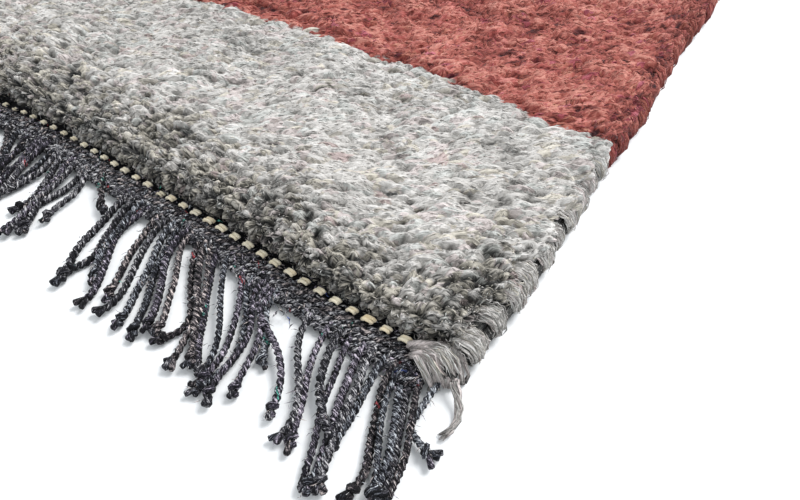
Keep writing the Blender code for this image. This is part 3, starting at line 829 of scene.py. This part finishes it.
fringe = {
    "strands": 84,
    "reach": 0.051,
    "stagger": 0.0045,
    "reachJitter": 0.002,
    "rootJitter": 0.0004,
    "pitch": 0.0052,
    "plyRadius": 0.00096,
    "plyOffset": 0.00074,
    "rootHeight": 0.0034,
    "restHeight": 0.0021,  # of a cord's middle on the floor
    "tone": 0.43,
    "scraps": 0.16,  # the share of cords with a coloured scrap spun in
    "knots": 0.75,  # the share of cords with a knot near the tip
    "knotRadius": 0.0014,
    "stubRadius": (0.0010, 0.0014),  # of the cut ends beyond the knot
    "stubReach": (0.0030, 0.0052),
    "hairs": 16,  # fine hairs a cord
    "near": {
        "end": -1, "seed": 11, "crossing": 14, "step": 0.00104,
        "shade": 0.14,  # how much darker the strands on the left are
        "routed": 0.092,  # to the right of here the strands lie as nearStrands says
    },
    "far": {
        "end": 1, "seed": 23, "crossing": 10, "shade": 0.0, "step": 0.0021,
        "lean": -0.005,  # how far right a tip lies of its root
        "sways": ((0.0055, 0.270, 3.4), (0.0026, 0.129, 0.7), (0.0009, 0.053, 2.2)),
    },
}


# How each strand beside the right corner lies, in mm: where its root is along the rug's end, how far
# out it starts to show, its reach, how far right its tip leans, its bow to the right, its S-bend
nearStrands = (
    (62, -3, 20, -3, 1, 0), (69, -4, 24, 0, 4, 0), (79, -1, 30, 1, 4, 0), (83, -3, 35, 11, 2, -2),
    (93, -1, 44, 12, 0, 1), (97, -3, 31, 14, 5, 2), (100, -1, 40, 4, -1, 2), (109, -4, 12, 19, -1, 0),
    (131, 0, 47, 14, -3, 0), (136, 1, 43, 6, 3, -3), (140, 2, 39, 17, -3, 1), (144, 5, 49, 18, -2, -3),
    (152, 5, 41, 16, -2, 0), (157, 5, 48, 14, 3, -2), (161, 5, 48, 19, 2, -1), (165, 5, 48, 25, -1, -1),
    (169, 5, 43, 23, 0, -2), (172, 6, 42, 23, 3, -1), (178, 4, 43, 19, 9, -4), (181, 3, 43, 36, 1, -1),
    (185, 3, 47, 24, 6, 0), (188, 3, 42, 32, -1, 0), (194, 2, 42, 28, 4, -2), (204, 3, 46, 20, 6, 0),
    (210, 7, 49, 13, 10, 0), (215, 8, 49, 16, 5, 2), (218, 8, 42, 20, 4, 2), (222, 8, 27, 16, 1, 0),
    (222, 12, 41, 31, 10, 2), (239, 1, 45, 20, 3, -4), (248, 1, 45, 18, -2, -1), (253, 2, 37, 26, -7, 1),
    (258, 3, 52, 20, -2, 0), (264, 6, 51, 17, -1, 0), (268, 6, 51, 15, -1, 1), (273, 8, 54, 5, 1, 0),
    (278, 10, 48, 12, 3, -1), (281, 10, 45, 16, 0, -1), (284, 9, 45, 14, 2, 0), (286, 8, 44, 15, 1, 0),
    (289, 6, 43, 13, 2, 0), (294, 18, 22, 12, -1, 0),
)


def strandRoute(root, start, reach, lean, bow, bend):
    share = np.linspace(0, 1, 9)
    x = root + lean * share + 4 * bow * share * (1 - share) + bend * np.sin(math.tau * share)
    return np.stack([x, start + (reach - start) * share], axis=-1) / 1000


def straightRoute(rootX, reach, settings):  # how a strand of the tidier far end lies
    out = np.linspace(0.002, reach, 8)
    share = out / reach
    x = rootX + settings["lean"] * share**1.3
    for amount, spacing, start in settings["sways"]:
        x = x + amount * share * np.sin(math.tau * rootX / spacing + start)
    return np.stack([x, out], axis=-1)


def borrowedRoute(rootX, chance):  # lies like one of the near strands, moved here and changed a little
    route = strandRoute(*nearStrands[chance.integers(8, len(nearStrands) - 1)])
    route = route - (route[0, 0], route[0, 1] - 0.003)
    route = route * (chance.uniform(0.5, 1.1), chance.uniform(0.95, 1.08))
    return route + (rootX, 0) + chance.normal(0, 0.10) * route[:, 1:] * (1, 0)


def smoothRoute(route):  # starts below the strip's edge and has no sharp turns
    route = np.concatenate([[(1.3 * route[0, 0] - 0.3 * route[1, 0], -0.0012)], route])
    length = np.concatenate([[0], np.cumsum(np.linalg.norm(np.diff(route, axis=0), axis=1))])
    run = np.linspace(0, length[-1], 28)
    line = np.stack([np.interp(run, length, route[:, 0]), np.interp(run, length, route[:, 1])], axis=-1)
    for _ in range(3):
        line[1:-1] = 0.25 * line[:-2] + 0.5 * line[1:-1] + 0.25 * line[2:]
    return line


def addStrand(yarn, chance, settings, route, lift):
    line = smoothRoute(route)
    rootX, out = line[0, 0], line[:, 1]
    share = np.linspace(0, 1, len(line))
    wobble = chance.uniform(0.0001, 0.0008)
    waves = math.tau * share * chance.uniform(1.5, 3.0) + chance.uniform(0, 6.3)
    x = line[:, 0] + wobble * share * np.sin(waves)
    fall = fade(out, 0.003, 0.015)
    z = fringe["rootHeight"] + (fringe["restHeight"] - fringe["rootHeight"]) * fall * fall * (3 - 2 * fall)
    z = z + lift * np.sin(share * math.pi) ** 0.7
    path = np.stack([x, settings["end"] * (rug["halfLength"] + out), z], axis=-1)
    tone = fringe["tone"] + chance.normal(0, 0.08) - settings["shade"] * fade(rootX, 0.16, 0.04)
    fleck = chance.uniform(0, 0.94)
    size = chance.uniform(0.86, 1.12)
    bit = None
    if chance.uniform() < fringe["scraps"]:
        bit = (chance.choice([0.96, 0.98, 0.98, 0.995]), chance.uniform(0.05, 0.95))
    step = settings["step"] * (1.0 if rootX > 0.03 else 1.25)
    pitch = fringe["pitch"] * chance.uniform(0.85, 1.2)
    addTwistedCord(yarn, path[:-2], pitch, 2, fringe["plyRadius"] * size, fringe["plyOffset"] * size, tone,
                   fleck, step, chance.uniform(0, math.tau), bit)
    # The knot near the tip, and the blunt ends of the plies beyond it
    knot = path[-3]
    onward = unit(path[-1] - path[-4])
    toTip = math.atan2(onward[1], onward[0])
    sideways = np.array([-onward[1], onward[0], 0.0])
    if chance.uniform() < fringe["knots"]:
        turns = np.linspace(0, math.tau * 1.15, 9)
        tilt = chance.uniform(-0.5, 0.5)
        circle = np.cos(turns)[:, None] * sideways + np.sin(turns)[:, None] * np.array([0, 0, 1.0])
        loop = knot + fringe["knotRadius"] * circle
        loop = loop + onward * ((turns - 3.5) * 0.0005 + tilt * 0.0008 * np.cos(turns))[:, None]
        loop[:, 2] = np.maximum(loop[:, 2] + 0.0003, 0.0013)
        addTubes(yarn, loop[None], 0.0012, onward, 5, tone - 0.03, fleck, cellSteps=10)
    count = chance.choice([1, 2, 2, 3])
    turn = toTip + np.linspace(-0.5, 0.5, count + 2)[1:-1] * chance.uniform(1.0, 2.6)
    turn = turn + chance.normal(0, 0.25, count)
    reach = chance.uniform(*fringe["stubReach"], count)[:, None]
    root = np.broadcast_to(knot, (count, 3))
    steps = [root + part * reach * heading(turn, 0.05) for part in (0.1, 0.5, 0.9, 1.0)]
    stubs = np.stack(steps, axis=1)
    stubs[..., 2] = np.maximum(stubs[..., 2], 0.0013)
    level = levelAcross(turn)
    thick = chance.uniform(*fringe["stubRadius"], count)[:, None] * np.array([[0.9, 1.0, 1.08, 0.85]])
    shades = tone + chance.normal(0, 0.05, (count, 1)) + np.array([[-0.06, 0.0, -0.04, -0.10]])
    addTubes(yarn, stubs, thick, level, 5, shades, chance.uniform(0, 0.94, count))
    # Fine hairs that stand off the cord
    count = fringe["hairs"]
    at = chance.integers(3, len(path) - 1, count)
    turn = toTip + chance.normal(0, 0.75, count)
    root = path[at] + (0, 0, 0.0010)
    middle = root + chance.uniform(0.0016, 0.0026, (count, 1)) * heading(turn, 0.2)
    further = chance.uniform(0.0010, 0.0024, (count, 1))
    tip = middle + further * heading(turn + chance.normal(0, 0.6, count), -0.3)
    level = levelAcross(turn)
    addHairs(yarn, np.stack([root, middle, tip], axis=1), np.array([[0.00010, 0.00015, 0.00006]]), level,
             chance.normal(0.80, 0.14, (count, 1)), chance.uniform(0, 0.96, count))


def makeFringe(side):
    settings = fringe[side]
    chance = np.random.default_rng(settings["seed"])
    pitch = 2 * rug["stripHalfWidth"] / fringe["strands"]
    yarn = startYarn()
    for index in range(fringe["strands"] + settings["crossing"]):
        crossing = index >= fringe["strands"]
        rootX = -rug["stripHalfWidth"] + (index + 0.5) * pitch + chance.uniform(-1, 1) * fringe["rootJitter"]
        if crossing:
            rootX = chance.uniform(-1, 1) * (rug["stripHalfWidth"] - 0.006)
        if side == "far":
            reach = fringe["reach"] - fringe["stagger"] * (index % 2)
            reach -= chance.uniform(0, fringe["reachJitter"])
            route = straightRoute(rootX, reach, settings)
            route[:, 0] += chance.normal(0, 0.010 if crossing else 0.004) * (route[:, 1] / reach) ** 1.5
        else:
            route = borrowedRoute(rootX, chance)
        if side == "far" or rootX < settings["routed"]:
            addStrand(yarn, chance, settings, route, 0.0028 if crossing else chance.uniform(0.0, 0.0018))
    for index, row in enumerate(nearStrands if side == "near" else ()):
        addStrand(yarn, chance, settings, strandRoute(*row), (0.0, 0.0022, 0.0010)[index % 3])
    return finishYarn(side + "_fringe_strands", yarn, darkYarn, [side + "_fringe"])


def makeStrip(side):
    end = fringe[side]["end"]
    yarn = startYarn()
    x = np.linspace(-rug["stripHalfWidth"], rug["stripHalfWidth"], 60)
    # The cores are nearly black: painted shade under the twined rows
    for out, radius in strip["cores"]:
        core = np.stack([x, end * (strip["inner"] + out) + 0 * x, radius * 0.92 + 0 * x], axis=-1)[None]
        addTubes(yarn, core, radius * 1.15, upright, 4, 0.10, 0.1, cellSteps=8,
                 spin=math.pi / 4, flat=0.9)
    for row, (awayY, height) in enumerate(zip(strip["rows"], strip["height"])):
        addTwinedRow(yarn, end, awayY, height, fringe[side]["seed"] * 10 + row)
    chance = np.random.default_rng(fringe[side]["seed"] + 300)
    addCornerBall(yarn, 1, end, chance)
    addCornerBall(yarn, -1, end, chance)
    addStripFrizz(yarn, end, np.random.default_rng(fringe[side]["seed"] + 400))
    return finishYarn(side + "_strip", yarn, darkYarn, [side + "_fringe"])


stitches = {
    "count": 72,
    "pitch": 0.00775,
    "length": 0.0040,
    "strands": 2,
    "radius": 0.00082,
    "strandGap": 0.00140,
    "fromMiddle": 0.4419,
    "base": 0.0066,  # how high a stitch's ends are, and how much higher its middle is
    "arch": 0.0011,
    "hidden": 0.16,  # the share of stitches that the dark wool covers whole
    "seed": 71,
}


def makeStitches(side):
    end = fringe[side]["end"]
    chance = np.random.default_rng(stitches["seed"] + end)
    yarn = startYarn()
    count = stitches["count"]
    first = -(count - 1) / 2 * stitches["pitch"]
    middleX = first + stitches["pitch"] * np.arange(count) + chance.uniform(-0.0003, 0.0003, count)
    skew = chance.normal(0.10, 0.05, count)
    # Away from the right corner the dark wool covers more of each stitch, and all of some
    shown = np.clip(0.50 + (middleX - 0.05) / 0.28, 0.50, 1.0) * chance.uniform(0.85, 1.08, count)
    hidden = (chance.uniform(0, 1, count) < stitches["hidden"]) & (middleX < 0.19)
    sunk = 0.0005 * (1 - np.minimum(shown, 1)) + 0.0016 * hidden
    tone = chance.normal(1.0, 0.06, count)
    share = np.linspace(-1, 1, 6)
    for strand in range(stitches["strands"]):
        offset = (strand - (stitches["strands"] - 1) / 2) * stitches["strandGap"]
        offset = offset * (0.5 + 0.5 * shown[:, None])
        half = stitches["length"] / 2 * shown
        x = middleX[:, None] + share[None, :] * half[:, None] - 0.25 * offset * end
        y = end * stitches["fromMiddle"] + offset + share[None, :] * half[:, None] * skew[:, None] * -end
        arch = stitches["arch"] * (1 - share[None, :] ** 4) + chance.uniform(-0.0001, 0.0001, (count, 1))
        z = stitches["base"] + arch - sunk[:, None]
        radii = stitches["radius"] * (0.4 + 0.6 * shown[:, None])
        tones = tone[:, None] + chance.normal(0, 0.05, (count, 6))
        addTubes(yarn, np.stack([x, y, z + 0 * x], axis=-1), radii, alongRug, 6, tones,
                 chance.uniform(0, 1, count))
    return finishYarn(side + "_cream_stitches", yarn, creamYarn, [side + "_cream_line"])


wraps = {
    "inner": 0.289,  # from the rug's middle to the wrapping's inner side
    "end": 0.4385,  # how far from the middle the wraps end, and the grey ones start
    "greyFrom": 0.315,
    "pitch": 0.012,
    "width": 0.0088,  # of one wrap's bundle, so that the dark core shows between two
    "slant": 0.003,
    "strandRadius": 0.00092,
    "hairRadius": (0.00014, 0.00032),
    "tone": 0.78,
    "greyLighter": 0.17,  # how much lighter the grey wraps are further from the corner
    "strands": 9,
    "fibres": 24,  # fine hairs a wrap
    "closeStrands": 14,  # the same at the photographed corner, where the yarn is finer
    "closeFibres": 70,
    "middle": (0.004, 0.005),  # of the section below, out from the inner side and up
    # out from the inner side, and up, over the edge from the pile to the floor
    "section": ((0.0008, 0.0098), (0.0028, 0.0124), (0.0056, 0.0134), (0.0084, 0.0122), (0.0103, 0.0088),
                (0.0109, 0.0050), (0.0097, 0.0018), (0.0066, 0.0010)),
    "core": ((0.0010, 0.0004), (0.0085, 0.0004), (0.0095, 0.0048), (0.0078, 0.0096), (0.0034, 0.0110),
             (0.0002, 0.0075)),
    "seed": 90,
}


def addWraps(yarn, side, fromY, toY, chance):
    section = np.array(wraps["section"])
    count = max(1, round((toY - fromY) / wraps["pitch"]))
    pitch = (toY - fromY) / count
    close = side > 0 and toY < -0.25
    strands = wraps["closeStrands" if close else "strands"]
    fibres = wraps["closeFibres" if close else "fibres"]
    wrapY = fromY + (np.arange(count) + 0.5) * pitch + chance.uniform(-0.0010, 0.0010, count)
    wrapTone = chance.normal(0, 0.05, count)
    wrapTone += wraps["greyLighter"] * fade(np.abs(wrapY), 0.425, 0.375) * (np.abs(wrapY) > 0.318)
    wrapFleck = chance.uniform(0, 0.9, count)
    wrapSlant = wraps["slant"] + chance.normal(0, 0.0016, count)
    wrapSize = chance.uniform(0.90, 1.10, count)
    wrapWidth = wraps["width"] * chance.uniform(0.75, 1.15, count)
    middle = wraps["middle"]
    spread = np.array([0.60, 0.85, 1.0, 1.0, 0.95, 0.85, 0.7, 0.55])

    def wrapPaths(wrap, place, lift):  # strands or hairs that lie round their own wrap
        total = len(wrap)
        swell = (wrapSize[wrap] * (1 + 0.16 * (1 - place**2) - 0.08) + lift)[:, None]
        out, up = (middle[i] + (section[:, i] - middle[i]) * swell + chance.normal(0, 0.00022, (total, 8))
                   for i in range(2))
        ahead = wrapSlant[wrap][:, None] * (section[None, :, 0] / 0.011 - 0.4)
        drift = chance.normal(0, 0.0007, (total, 1)) * np.linspace(-1, 1, 8)[None, :]
        y = wrapY[wrap][:, None] + place[:, None] * spread[None, :] * wrapWidth[wrap][:, None] / 2
        y = y + ahead + drift
        return np.stack([side * (wraps["inner"] + out), y, np.maximum(up, 0.0009)], axis=-1)

    wrap = np.repeat(np.arange(count), strands)
    total = len(wrap)
    place = np.tile(np.linspace(-1, 1, strands), count) + chance.normal(0, 0.07, total)
    thinner = (wraps["strands"] / strands) ** 0.7  # more strands a wrap are finer ones
    thick = wraps["strandRadius"] * thinner * chance.uniform(0.75, 1.25, total)
    radii = thick[:, None] * np.array([[0.7, 1.0, 1.0, 1.0, 1.0, 0.95, 0.85, 0.5]])
    # Painted shade: strands at a wrap's sides, in the hollows between wraps, are darker, and so is each
    # strand where it goes under the pile and where it turns down to the floor
    bright = wraps["tone"] + wrapTone[wrap] + chance.normal(0, 0.035, total) - 0.16 * place**2
    tones = bright[:, None] + np.array([[-0.10, 0.0, 0.04, 0.02, -0.04, -0.12, -0.22, -0.30]])
    fleck = np.where(chance.uniform(0, 1, total) < 0.8, wrapFleck[wrap], chance.uniform(0, 1, total))
    paths = wrapPaths(wrap, place, chance.uniform(-0.02, 0.03, total))
    addTubes(yarn, paths, radii, alongRug, 4, tones, fleck, cellSteps=9)
    wrap = np.repeat(np.arange(count), fibres)
    total = len(wrap)
    hairs = wrapPaths(wrap, chance.uniform(-1.3, 1.3, total), chance.uniform(0.06, 0.22, total))
    first = chance.integers(0, 5, total)
    hairs = hairs[np.arange(total)[:, None], first[:, None] + np.arange(3)[None, :]]
    hairs += chance.normal(0, 0.00045, (total, 3, 3)) * (0.4, 1.6, 0.4)
    thick = chance.uniform(*wraps["hairRadius"], total)[:, None] * np.array([[0.2, 1.0, 0.2]])
    # Hairs that start lower down the wrap get more painted shade
    tones = 0.88 + wrapTone[wrap][:, None] - 0.05 * first[:, None] + chance.normal(0, 0.06, (total, 3))
    addHairs(yarn, hairs, thick, alongRug, tones, chance.uniform(0, 1, total))


def addWrapCore(yarn, side, fromY, toY):  # a dark core seen between the strands: painted shade in the hollows between the wraps
    rings = max(2, round((toY - fromY) / 0.006)) + 1
    y = np.linspace(fromY, toY, rings)
    for (outA, upA), (outB, upB) in zip(wraps["core"][1:-1], wraps["core"][2:]):
        x = side * (wraps["inner"] + (outA + outB) / 2 - 0.001)
        z = max((upA + upB) / 2 - 0.0010, 0.0029)
        path = np.stack([x + 0 * y, y, z + 0 * y], axis=-1)[None]
        addTubes(yarn, path, 0.0029, upright, 5, 0.22, 0.2, cellSteps=9)


def makeWrapping(name, side, fromY, toY, wool, cornerEnd=0):
    chance = np.random.default_rng(wraps["seed"] + len(name) + 3 * side + int(1000 * abs(fromY)))
    yarn = startYarn()
    addWraps(yarn, side, fromY, toY, chance)
    addWrapCore(yarn, side, fromY + 0.003, toY - 0.003)
    if cornerEnd:
        addCornerBundle(yarn, side, cornerEnd, chance)
        if side > 0 and cornerEnd < 0:
            addLooseTail(yarn, chance)
    return finishYarn(name, yarn, wool, [name.replace("wraps", "wrapping")])


# The last turns of the grey yarn come out over the strip's end and fan down round the corner.
# The routes of the fan's two outer strands: x from the rug's side, y from the cream line, z
corner = {
    "strands": 19,
    "strandRadius": 0.00072,
    "tone": 0.80,
    "hairs": 9,  # a strand
    "inner": ((-0.0195, -0.0050, 0.0066), (-0.0168, -0.0062, 0.0086), (-0.0138, -0.0076, 0.0084),
              (-0.0108, -0.0088, 0.0064), (-0.0088, -0.0098, 0.0034), (-0.0080, -0.0102, 0.0010)),
    "outer": ((-0.0195, -0.0024, 0.0080), (-0.0140, 0.0008, 0.0108), (-0.0088, 0.0026, 0.0112),
              (-0.0034, 0.0020, 0.0088), (0.0002, 0.0000, 0.0048), (0.0010, -0.0018, 0.0010)),
    "twist": ((-0.0225, -0.0022, 0.0066), (-0.0185, -0.0002, 0.0084), (-0.0140, 0.0010, 0.0098),
              (-0.0100, 0.0020, 0.0106), (-0.0060, 0.0036, 0.0098)),
    "ball": (-0.0165, -0.0115, 0.0042),
    "ballRadius": 0.0048,
    "ballStrands": 46,
    "core": ((-0.0185, -0.0030, 0.0040), (-0.0130, -0.0030, 0.0055), (-0.0070, -0.0030, 0.0050),
             (-0.0030, -0.0020, 0.0034)),
    # the loose tail's route, from the rug's middle
    "tail": ((0.2985, -0.4465, 0.0056), (0.3016, -0.4492, 0.0042), (0.3044, -0.4525, 0.0028),
             (0.3058, -0.4562, 0.0020), (0.3058, -0.4600, 0.0018), (0.3042, -0.4640, 0.0016)),
    "tailStrands": 14,
    "creamLine": 0.441,  # the middle of the cream line, from the rug's middle
}


def atCorner(points, side, end):  # from the side and cream line to the corner's true place
    fromMiddle = np.array(points) * (1, -1, 1) + (rug["halfWidth"], corner["creamLine"], 0)
    return fromMiddle * (side, end, 1)


def addCornerBundle(yarn, side, end, chance):
    count, hairCount = corner["strands"], corner["strands"] * corner["hairs"]
    share = np.linspace(0, 1, count)[:, None, None]
    fan = (1 - share) * np.array(corner["inner"])[None] + share * np.array(corner["outer"])[None]
    hump = np.sin(math.pi * share) * np.array([0.0, 0.5, 1.0, 1.0, 0.6, 0.0])[None, :, None]
    fan = fan + hump * np.array([0.0, 0.0, 0.0014]) + chance.normal(0, 0.00050, fan.shape)
    fan[..., 2] = np.maximum(fan[..., 2], 0.0011)
    # Painted light and shade: each strand is lighter over its hump and darker at its low ends by the strip
    # and the floor
    tones = corner["tone"] + chance.normal(0, 0.17, (count, 1))
    tones = tones + np.array([[-0.24, 0.0, 0.12, 0.08, -0.12, -0.34]])
    radii = corner["strandRadius"] * chance.uniform(0.7, 1.3, (count, 1))
    addTubes(yarn, atCorner(fan, side, end), radii, alongRug, 4, tones,
             chance.choice([0.1, 0.78, 0.80], count), cellSteps=9)
    hairs = np.repeat(fan, corner["hairs"], axis=0)[:, 1:5] + chance.normal(0, 0.0009, (hairCount, 1, 3))
    hairs[..., 2] = np.maximum(hairs[..., 2] + 0.0006, 0.0006)
    thick = chance.uniform(0.00012, 0.00028, (hairCount, 1)) * np.array([[0.2, 1.0, 1.0, 0.2]])
    addHairs(yarn, atCorner(hairs, side, end), thick, alongRug,
             chance.normal(0.84, 0.12, (hairCount, 1)), chance.uniform(0, 1, hairCount))
    addTwistedCord(yarn, atCorner(corner["twist"], side, end), pitch=0.0085, plies=4, plyRadius=0.00085,
                   plyOffset=0.00095, tone=0.74, fleck=0.77, stepLength=0.0011, phase=0.4)
    # A nearly black core under the fan: painted shade in the gaps between its strands
    core = atCorner([corner["core"]], side, end)
    addTubes(yarn, core, np.array([[0.0034, 0.0046, 0.0044, 0.0030]]), alongRug, 6, 0.08, 0.2)


def addCornerBall(yarn, side, end, chance):  # the knotted dark warp beside the strip's end
    count = corner["ballStrands"]
    pole = unit(chance.normal(0, 1, (count, 3)))
    first = unit(np.cross(pole, chance.normal(0, 1, (count, 3))))
    second = np.cross(pole, first)
    angle = np.linspace(0, 1, 8)[None, :, None] * chance.uniform(2.0, 4.2, (count, 1, 1))
    size = corner["ballRadius"] * chance.uniform(0.55, 1.05, (count, 1, 1))
    loops = np.cos(angle) * first[:, None, :] + np.sin(angle) * second[:, None, :] + 0.25 * pole[:, None, :]
    loops = size * loops * (1.15, 1.0, 0.85) + corner["ball"]
    loops[..., 2] = np.maximum(loops[..., 2], 0.0010)
    radii = chance.uniform(0.0005, 0.0010, (count, 1))
    addTubes(yarn, atCorner(loops, side, end), radii, (0.3, 0.2, 1.0), 4,
             chance.normal(0.50, 0.10, (count, 1)), chance.uniform(0, 1, count), cellSteps=9)


def addLooseTail(yarn, chance):
    count = corner["tailStrands"]
    turn = chance.uniform(0, math.tau, (count, 1)) + np.arange(6)[None, :] * 0.9
    away = chance.uniform(0.0002, 0.0017, (count, 1)) * np.array([[1.0, 0.9, 0.8, 0.7, 0.7, 1.0]])
    fromRoute = np.stack([np.cos(turn), np.sin(turn), 0.6 * np.sin(turn + 1)], axis=-1)
    paths = np.array(corner["tail"])[None] + away[..., None] * fromRoute
    paths[..., 2] = np.maximum(paths[..., 2], 0.0008)
    thick = chance.uniform(0.00025, 0.00062, (count, 1)) * np.array([[1.0, 1.0, 1.0, 1.0, 0.9, 0.4]])
    addTubes(yarn, paths, thick, (1.0, 0.0, 0.0), 4, chance.normal(0.66, 0.09, (count, 6)),
             chance.choice([0.1, 0.78], count), cellSteps=9)


camera = {
    "place": (0.3319, -0.5312, 0.1874),
    "turn": (math.radians(39.19), 0.0, math.radians(34.18)),
    "lens": 25.92,
}
light = {
    "sky": 0.85,
    "skyColour": (0.93, 0.97, 1.0, 1.0),
    "sunStrength": 3.0,
    "sunTurn": (math.radians(-38), math.radians(18), 0.0),
    "sunAngle": math.radians(28),
}


def makeStage():
    scene = bpy.context.scene
    data = bpy.data.cameras.new("photo_view")
    data.sensor_width = 36.0
    data.lens = camera["lens"]
    data.clip_start = 0.005
    view = addObject("photo_view", data)
    view.location = camera["place"]
    view.rotation_euler = camera["turn"]
    scene.camera = view

    sun = bpy.data.lights.new("soft_key", "SUN")
    sun.energy = light["sunStrength"]
    sun.angle = light["sunAngle"]
    addObject("soft_key", sun).rotation_euler = light["sunTurn"]

    world = bpy.data.worlds.new("studio")
    world.use_nodes = True
    sky = world.node_tree.nodes["Background"]
    sky.inputs["Color"].default_value = light["skyColour"]
    sky.inputs["Strength"].default_value = light["sky"]
    scene.world = world
    scene.view_settings.view_transform = "Standard"

    mesh = bpy.data.meshes.new("studio_floor")
    reach = 4.0
    corners = [(-reach, -reach, 0), (reach, -reach, 0), (reach, reach, 0), (-reach, reach, 0)]
    mesh.from_pydata(corners, [], [(0, 1, 2, 3)])
    floor = addObject("studio_floor", mesh)
    material, make, link = startMaterial("studio_paper")
    place = make("ShaderNodeTexCoord").outputs["Object"]
    grain = make("ShaderNodeTexNoise", Vector=place, Scale=300.0, Detail=4.0)
    paper = make("ShaderNodeValToRGB", Fac=grain.outputs["Fac"])
    fillRamp(paper.color_ramp, [(0.3, (0.86, 0.87, 0.88)), (0.7, (0.90, 0.905, 0.91))])
    shader = material.node_tree.nodes["Principled BSDF"]
    link(paper.outputs["Color"], shader.inputs["Base Color"])
    shader.inputs["Roughness"].default_value = 0.8
    mesh.materials.append(material)


def makeRug():
    makeStage()
    print("camera, light and floor are ready")
    pieces = makePile()
    print("pile is knotted")
    foundation = makeCloth()
    for side in ("near", "far"):
        pieces += [makeStrip(side), makeFringe(side), makeStitches(side)]
    print("strips, fringes and cream lines are done")
    end, change = wraps["end"], wraps["greyFrom"]
    for side, word in ((1, "right"), (-1, "left")):
        pieces.append(makeWrapping(word + "_near_wraps", side, -end, -change, greyWool, -1))
        pieces.append(makeWrapping(word + "_middle_wraps", side, -change, change, roseWool))
        pieces.append(makeWrapping(word + "_far_wraps", side, change, end, greyWool, 1))
    print("edges are wrapped")
    total = sum(len(face.vertices) - 2 for piece in [foundation, *pieces] for face in piece.data.polygons)
    print(f"the rug has {total} triangles in {len(pieces) + 1} pieces")


makeRug()
